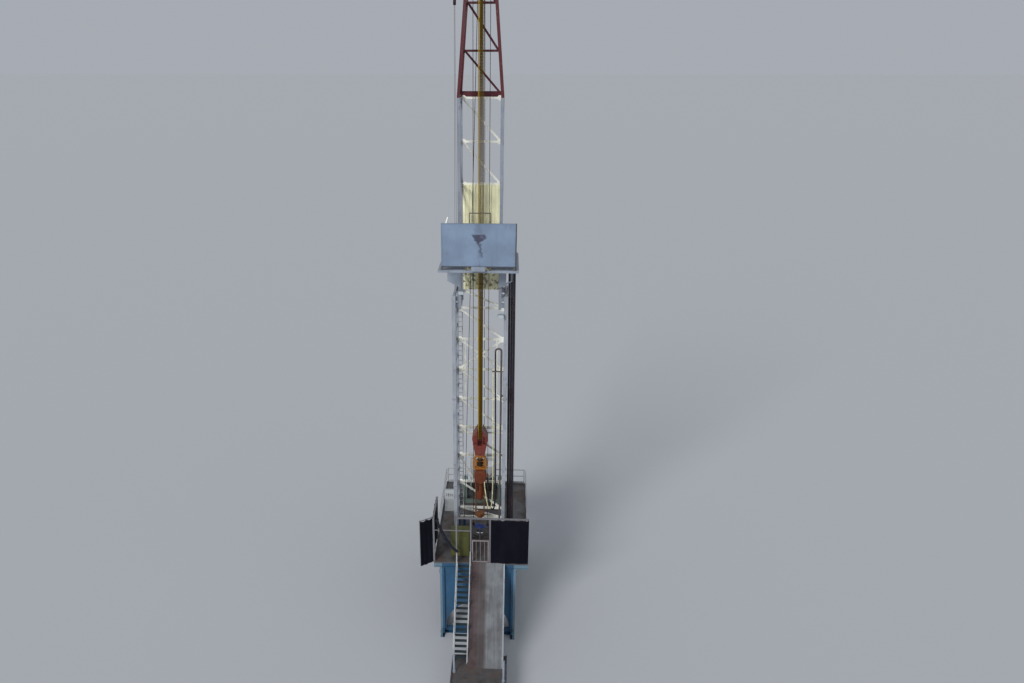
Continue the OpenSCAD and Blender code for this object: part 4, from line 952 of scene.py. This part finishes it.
def make_drive_fittings():
    """Ribs, a cover, motor fins, bands and tie rods on the top drive, and its grease pipes."""
    y = DRIVE_Y
    drive = Shape()
    for k in range(4):
        z = 9.1 + 0.14 * k
        drive.box((-0.27, y - 0.014, z), (0.27, y, z + 0.03), 0.004)
    drive.box((-0.16, y - 0.05, 9.24), (0.12, y - 0.012, 9.56), 0.012)
    drive.bolts([(x, y, z) for x in (-0.24, 0.24) for z in (9.06, 9.3, 9.54)], -Y, 0.02, 0.018)
    for s in (-1, 1):
        for k in range(MOTOR_FINS):
            drive.turned((s * MOTOR_X, MOTOR_Y, 9.0 + 0.075 * k), Z,
                         [(0.108, 0), (0.116, 0.004), (0.108, 0.012)])
    for z in (8.58, 8.4, 7.92):
        drive.turned((0, WELL_Y, z), Z, [(0.202, 0), (0.216, 0.008), (0.216, 0.05), (0.202, 0.058)], 40)
    for place in circle((0, WELL_Y, 8.0), X, Y, HANDLER_R, HANDLER_RODS):
        drive.rod(place, place + 0.36 * Z, 0.014, 8)
    drive.done("drive_ribs", "drive_brown", body="hoist")
    pipes = Shape()
    for x in DRIVE_PIPES:
        pipes.tube(smooth_path([(x, y - 0.03, 9.02), (x, y - 0.045, 8.92), (x * 0.9, -1.6, 8.72),
                                (x * 0.8, -1.568, 8.5), (x * 0.8, -1.565, 8.32)], 0.05), 0.013, 8)
    pipes.done("drive_pipes", "drive_brown", "dark_grease", body="hoist", smooth=True)


def make_elevator_fittings():
    """Bands, hinge, pin and handle of the elevator that hangs in the links."""
    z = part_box("elevator_links")[0].z
    lift = Shape()
    for up in (0.03, 0.16):
        lift.turned((0, WELL_Y, z + up), Z, [(0.232, 0), (0.245, 0.01), (0.245, 0.06), (0.232, 0.07)], 40)
    lift.box((-0.05, -1.64, z + 0.05), (0.05, -1.57, z + 0.21), 0.01)
    lift.rod((0, -1.62, z + 0.02), (0, -1.62, z + 0.25), 0.018, 12)
    lift.tube(smooth_path([(0.12, -1.56, z + 0.13), (0.16, -1.66, z + 0.14), (0.27, -1.67, z + 0.14),
                           (0.31, -1.6, z + 0.13)], 0.04), 0.012, 8)
    lift.done("elevator_latch", "worn_steel", "link_orange", body="hoist")


CROWN_ROWS = (37.93, 38.09)


def make_crown_fittings():
    """Bolts along the crown's front beam and at its ends."""
    low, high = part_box("crown_frame")
    trim = Shape()
    for s in (-1, 1):
        trim.bolts([(s * high.x, low.y + k, z) for k in (0.035, 0.1) for z in CROWN_ROWS], s * X)
    trim.bolts([(low.x + 0.11 * k, low.y, z) for k in range(1, 12) for z in CROWN_ROWS], -Y, 0.018, 0.016)
    trim.done("crown_bolts", "red_paint")


POST_W = 0.25
EYE_X = 2.25
EYE_THICK = 0.04
EYE_Z = 4.4
SKID_X = 2.235
SKID_RIBS = 12
SKID_PITCH = 0.78


def make_portals():
    """Stiffeners, bolts and lifting eyes on the substructure."""
    low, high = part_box("sub_front_frame")
    ribs = Shape()
    for s in (-1, 1):
        x = s * (high.x - POST_W)
        ribs.box((x, low.y - 0.004, low.z), (x - s * 0.02, low.y + 0.06, high.z - 0.3), 0.003)
        for z in (low.z + 0.02, high.z - 0.12):
            ribs.box((s * high.x, low.y - 0.015, z), (x, low.y, z + 0.1), 0.003)
            ribs.bolts([(s * (high.x - 0.05 - 0.075 * k), low.y - 0.015, z + 0.05) for k in range(3)], -Y,
                       0.018, 0.014)
        for z in (1.2, 2.4, 3.6):
            ribs.bolts([(s * (high.x - POST_W / 2), low.y, z)], -Y, 0.022, 0.016)
        for y in (low.y + 0.1, 4.5):
            eye = [(y - 0.07, EYE_Z), (y + 0.07, EYE_Z), (y + 0.07, EYE_Z + 0.15), (y + 0.03, EYE_Z + 0.2),
                   (y - 0.03, EYE_Z + 0.2), (y - 0.07, EYE_Z + 0.15)]
            ribs.prism(eye, 0, s * EYE_X, s * (EYE_X + EYE_THICK))
    for z in (4.88, 5.14):
        ribs.bolts([(-2.4 + 0.3 * k, -4.45, z) for k in range(17)], -Y)
    ribs.done("portal_ribs", "blue_paint")
    skid = Shape()
    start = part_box("sub_base")[0].y + 0.6
    for s in (-1, 1):
        for k in range(SKID_RIBS):
            y = start + SKID_PITCH * k
            skid.box((s * SKID_X, y, 0.04), (s * (SKID_X + 0.012), y + 0.02, 0.32))
    skid.done("skid_ribs", "blue_paint")


CATWALK_Z = 1.07
RAMP_RUN = 3.85
RAMP_END = 3.78
RAMP_START = 0.03
CLEATS = 15
CLEAT_PITCH = 0.25
ACROSS_SLOPE = (0, -1, 1)


def on_slope(x, run, lift=0.0):
    """A point on the ramp's face, at a distance run along Y from the floor's edge."""
    rise = (FLOOR_Z - CATWALK_Z) / RAMP_RUN
    n = Vector((0, -rise, 1)).normalized()
    return Vector((x, FRONT_Y - run, FLOOR_Z - rise * run)) + n * lift


def make_ramp():
    """Cleats on the ramp's strip, its welded seams and its edge bar."""
    low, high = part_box("ramp_strip")
    cleats = Shape()
    for k in range(CLEATS):
        run = 0.2 + CLEAT_PITCH * k
        cleats.bar(on_slope(low.x + 0.02, run, 0.008), on_slope(high.x - 0.03, run, 0.008), 0.035, 0.016,
                   ACROSS_SLOPE)
    cleats.done("ramp_cleats", "worn_steel", "ramp_strip_steel")
    low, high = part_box("ramp_plate")
    edges = Shape()
    x = high.x - 0.02
    edges.bar(on_slope(x, RAMP_START, 0.012), on_slope(x, RAMP_END, 0.012), 0.03, 0.024, ACROSS_SLOPE)
    edges.done("ramp_edges", "white_paint", "pale_blue")
    seams = Shape()
    for x in (low.x + 0.012, low.x + 0.16):
        seams.bar(on_slope(x, RAMP_START, 0.006), on_slope(x, RAMP_END, 0.006), 0.022, 0.012, ACROSS_SLOPE)
    for run in (1.25, 2.5):
        seams.bar(on_slope(low.x + 0.03, run, 0.003), on_slope(high.x - 0.04, run, 0.003), 0.02, 0.006,
                  ACROSS_SLOPE)
    seams.done("ramp_seams", "worn_steel", "ramp_plate_steel")


CURB_W = 0.08
BAY = 0.75
STOP_POSTS = ((-1.12, -8.64, 2.2), (1.62, -9.2, 2.45))


def make_catwalk():
    """Deck seams, side curbs, stop posts and bolted plates along the catwalk."""
    low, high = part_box("catwalk_deck")
    trim = Shape()
    for x in (low.x, high.x - CURB_W):
        trim.box((x, low.y, high.z), (x + CURB_W, high.y, high.z + 0.05), 0.006)
    for k in range(1, 12):
        y = low.y + BAY * k
        trim.box((low.x + 0.09, y - 0.012, high.z), (high.x - 0.09, y + 0.012, high.z + 0.004))
    trim.done("catwalk_trim", "worn_steel", "dull_metal")
    posts = Shape()
    for x, y, top in STOP_POSTS:
        for foot, head, radius in ((high.z, top, 0.055), (high.z, high.z + 0.12, 0.085),
                                   (top, top + 0.02, 0.062)):
            posts.rod((x, y, foot), (x, y, head), radius, 20)
    posts.done("catwalk_posts", "white_paint", "pale_blue")
    plates = Shape()
    low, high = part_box("catwalk_frame")
    for s, x in ((-1, low.x), (1, high.x)):
        out = x + s * 0.012
        for k in range(12):
            y = low.y + 0.35 + BAY * k
            plates.box((x, y, 0.86), (out, y + 0.12, 1.0), 0.003)
            plates.bolts([(out, y + 0.03, 0.93), (out, y + 0.09, 0.93)], s * X)
    plates.done("catwalk_plates", "white_paint")


# The stands' radius, rows, gap and lean, as in the part's source
PIPE_R = 0.064
RACK_ROWS = 5
RACK_COLUMNS = 3
RACK_GAP = 0.007
RACK_FOOT_X = 1.72
RACK_LEAN = 0.13
JOINT_R = PIPE_R + 0.0028
JOINTS_UP = (0.02, 9.2, 18.1)


def make_pipe_joints():
    """A thicker tool joint at the foot, near the middle and at the top of each racked stand."""
    low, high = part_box("racked_pipe")
    lean = RACK_LEAN / (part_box("monkey_board")[1].z - FLOOR_Z)
    way = Vector((-lean, 0, 1)).normalized()
    profile = [(PIPE_R, 0), (JOINT_R, 0.02), (JOINT_R, 0.4), (PIPE_R, 0.46)]
    shape = Shape()
    for i in range(RACK_ROWS):
        y = low.y + PIPE_R + (high.y - low.y - 2 * PIPE_R) * i / (RACK_ROWS - 1)
        for j in range(RACK_COLUMNS):
            foot = Vector((RACK_FOOT_X + j * (2 * PIPE_R + RACK_GAP), y, FLOOR_Z))
            for up in JOINTS_UP:
                shape.turned(foot + way * up, way, profile, 20)
    shape.done("tool_joints", "dark_pipe", smooth=True)


CABINET_LOW = Vector((-1.62, -3.95, FLOOR_Z + 0.08))
CABINET_HIGH = Vector((-0.52, -3.4, FLOOR_Z + 1.78))
DOOR_W = 0.5
LOUVRES = 6


def make_cabinet():
    """A two-door cabinet with louvres and handles, behind the stair."""
    low, high = CABINET_LOW, CABINET_HIGH
    cabinet = Shape()
    cabinet.box(low, high, 0.02)
    for x in (low.x + 0.05, high.x - 0.13):
        cabinet.box((x, low.y + 0.04, FLOOR_Z + 0.001), (x + 0.08, high.y - 0.04, low.z))
    for x in (low.x + 0.04, low.x + 0.56):
        cabinet.box((x, low.y - 0.018, low.z + 0.05), (x + DOOR_W, low.y, high.z - 0.06), 0.008)
        for m in range(LOUVRES):
            z = high.z - 0.34 + 0.035 * m
            cabinet.box((x + 0.08, low.y - 0.026, z), (x + 0.42, low.y - 0.018, z + 0.018))
    cabinet.box((low.x - 0.02, low.y - 0.03, high.z), (high.x + 0.02, high.y + 0.02, high.z + 0.025), 0.006)
    cabinet.done("floor_cabinet", "machine_paint", "olive_paint")
    handles = Shape()
    near, far, z = low.y - 0.018, low.y - 0.06, FLOOR_Z + 0.95
    for x in (low.x + 0.5, low.x + 0.6):
        handles.tube(smooth_path([(x, near, z), (x, far, z + 0.01), (x, far, z + 0.19), (x, near, z + 0.2)],
                                 0.03), 0.009, 8)
    handles.done("cabinet_handles", "worn_steel", "dull_metal", smooth=True)


# The tong stands clear of the swing of the gate
TONG_X = 0.08
TONG_Y = -3.22
TONG_Z = FLOOR_Z + 1.56


def make_tong():
    """A power tong on its post."""
    x, y, z = TONG_X, TONG_Y, TONG_Z
    post = Shape()
    post.rod((x, y, FLOOR_Z), (x, y, FLOOR_Z + 0.03), 0.16, 24)
    post.rod((x, y, FLOOR_Z + 0.03), (x, y, z), 0.05, 20)
    post.done("tong_post", "worn_steel", "dull_metal")
    head = Shape()
    head.box((-0.2, y - 0.1, z), (0.3, y + 0.1, z + 0.24), 0.04)
    head.turned((-0.05, y, z + 0.24), Z, [(0.1, 0), (0.11, 0.02), (0.11, 0.05), (0.07, 0.07)], 28)
    head.rod((0.3, y, z + 0.1), (0.52, y, z + 0.1), 0.03, 16)
    head.done("tong_head", "machine_paint", "tong_blue")


WINCH_X = 1.6
WINCH_Y = -3.6
TANK_LOW = Vector((2.25, -2.6, FLOOR_Z + 0.001))
TANK_HIGH = Vector((2.7, -2.1, FLOOR_Z + 1.0))
TANK_CAP_X = 2.47


def make_winch_and_tank():
    """A small winch behind the front sheet and a grease tank beside the racked pipe."""
    y, z = WINCH_Y, FLOOR_Z
    winch = Shape()
    for x in (WINCH_X, WINCH_X + 0.38):
        winch.prism([(y - 0.3, z), (y + 0.3, z), (y + 0.22, z + 0.62), (y - 0.22, z + 0.62)], 0, x, x + 0.03)
    winch.turned((WINCH_X + 0.03, y, z + 0.38), X, [(0.24, 0), (0.24, 0.02), (0.12, 0.03), (0.12, 0.31),
                                                    (0.24, 0.32), (0.24, 0.35)])
    winch.rod((WINCH_X + 0.41, y, z + 0.38), (WINCH_X + 0.7, y, z + 0.38), 0.13, 24)
    winch.done("floor_winch", "machine_paint", "signal_red")
    tank = Shape()
    tank.box(TANK_LOW, TANK_HIGH, 0.03)
    x, y, z = TANK_CAP_X, (TANK_LOW.y + TANK_HIGH.y) / 2, TANK_HIGH.z
    tank.rod((x, y, z), (x, y, z + 0.25), 0.15, 24)
    tank.rod((x, y, z + 0.25), (x, y, z + 0.3), 0.19, 24)
    tank.done("grease_tank", "machine_paint", "pale_blue")


DRUM = Vector((0, 2.7, FLOOR_Z + 1.0))
DRUM_WRAPS = 40
DRUM_HALF = 0.7
WRAP_R = 0.436
WRAP_STEPS = 20
WORKS_X = 1.35
MOTOR_FIN_X = -0.46
MOTOR_FIN_COUNT = 14


def make_works_fittings():
    """The rope on the drum, and bolts, bearing caps, louvres and motor fins on the drawworks."""
    rope = Shape()
    count = DRUM_WRAPS * WRAP_STEPS
    path = []
    for k in range(count + 1):
        a = tau * k / WRAP_STEPS
        x = DRUM_HALF - 2 * DRUM_HALF * k / count
        path.append(DRUM + Vector((x, WRAP_R * cos(a), WRAP_R * sin(a))))
    rope.tube(path, 0.0155, 6)
    rope.done("drum_rope", "dark_wire", smooth=True)
    trim = Shape()
    for s in (-1, 1):
        side = DRUM + s * WORKS_X * X
        trim.bolts(circle(side, Y, Z, 0.47, 16), s * X, 0.018, 0.016)
        trim.turned(side, s * X, [(0.2, 0), (0.2, 0.025), (0.13, 0.04), (0.13, 0.09)])
        for k in range(5):
            z = FLOOR_Z + 0.28 + 0.07 * k
            trim.box((side.x, DRUM.y - 0.4, z), (side.x + s * 0.012, DRUM.y + 0.4, z + 0.02))
    for k in range(MOTOR_FIN_COUNT):
        x = MOTOR_FIN_X + 0.07 * k
        trim.turned((x, 3.87, FLOOR_Z + 0.46), X,
                    [(0.262, 0), (0.275, 0.004), (0.275, 0.012), (0.262, 0.016)])
    trim.done("works_bolts", "machine_paint")


LEVERS = 4
DIALS = 3
DESK_SLOPE = (0, -0.64, 0.77)


def make_console():
    """Levers and dials on the driller's desk."""
    low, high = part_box("driller_console")
    desk = Shape()
    for k in range(LEVERS):
        x = low.x + 0.12 + 0.12 * k
        y = low.y + 0.12
        z = low.z + (high.z - low.z) * 0.72 + 0.1
        desk.rod((x, y, z - 0.02), (x, y - 0.03, z + 0.16), 0.01, 10)
        desk.rod((x, y - 0.03, z + 0.16), (x, y - 0.036, z + 0.2), 0.02, 12)
    desk.done("console_levers", "white_paint", "dark_grease")
    dials = Shape()
    for k in range(DIALS):
        dials.turned((low.x + 0.15 + 0.15 * k, low.y + 0.3, low.z + 1.195), DESK_SLOPE,
                     [(0.055, -0.012), (0.055, 0.012), (0.048, 0.018)], 28)
    dials.done("console_dials", "white_paint", "lamp_glass")


def make_floor():
    """The plain studio floor that the part stands on."""
    mesh = bmesh.new()
    bmesh.ops.create_grid(mesh, x_segments=1, y_segments=1, size=FLOOR_SIZE)
    data = bpy.data.meshes.new("studio_floor")
    mesh.to_mesh(data)
    mesh.free()
    data.materials.append(pale_floor())
    floor = add("studio_floor", data)


make_camera()
make_light()
make_floor()
dress_nodes()
make_hose("rotary_hose_skin", "rotary_hose", HOSE, HOSE_RADIUS, "hose_rubber")
make_hose("service_loop_skin", "service_loop", LOOP, LOOP_RADIUS, "pale_rubber",
          7)
make_lines()
make_tarps()
make_rolled_cloth()
make_windwall()
make_rear_panel()
make_gussets()
make_leg_plates()
make_foot_pins()
make_floodlights()
make_fixed_ropes()
make_climbing_lines()
make_block_fittings()
make_hook_fittings()
make_drive_fittings()
make_elevator_fittings()
make_crown_fittings()
make_portals()
make_ramp()
make_catwalk()
make_pipe_joints()
make_cabinet()
make_tong()
make_winch_and_tank()
make_works_fittings()
make_console()
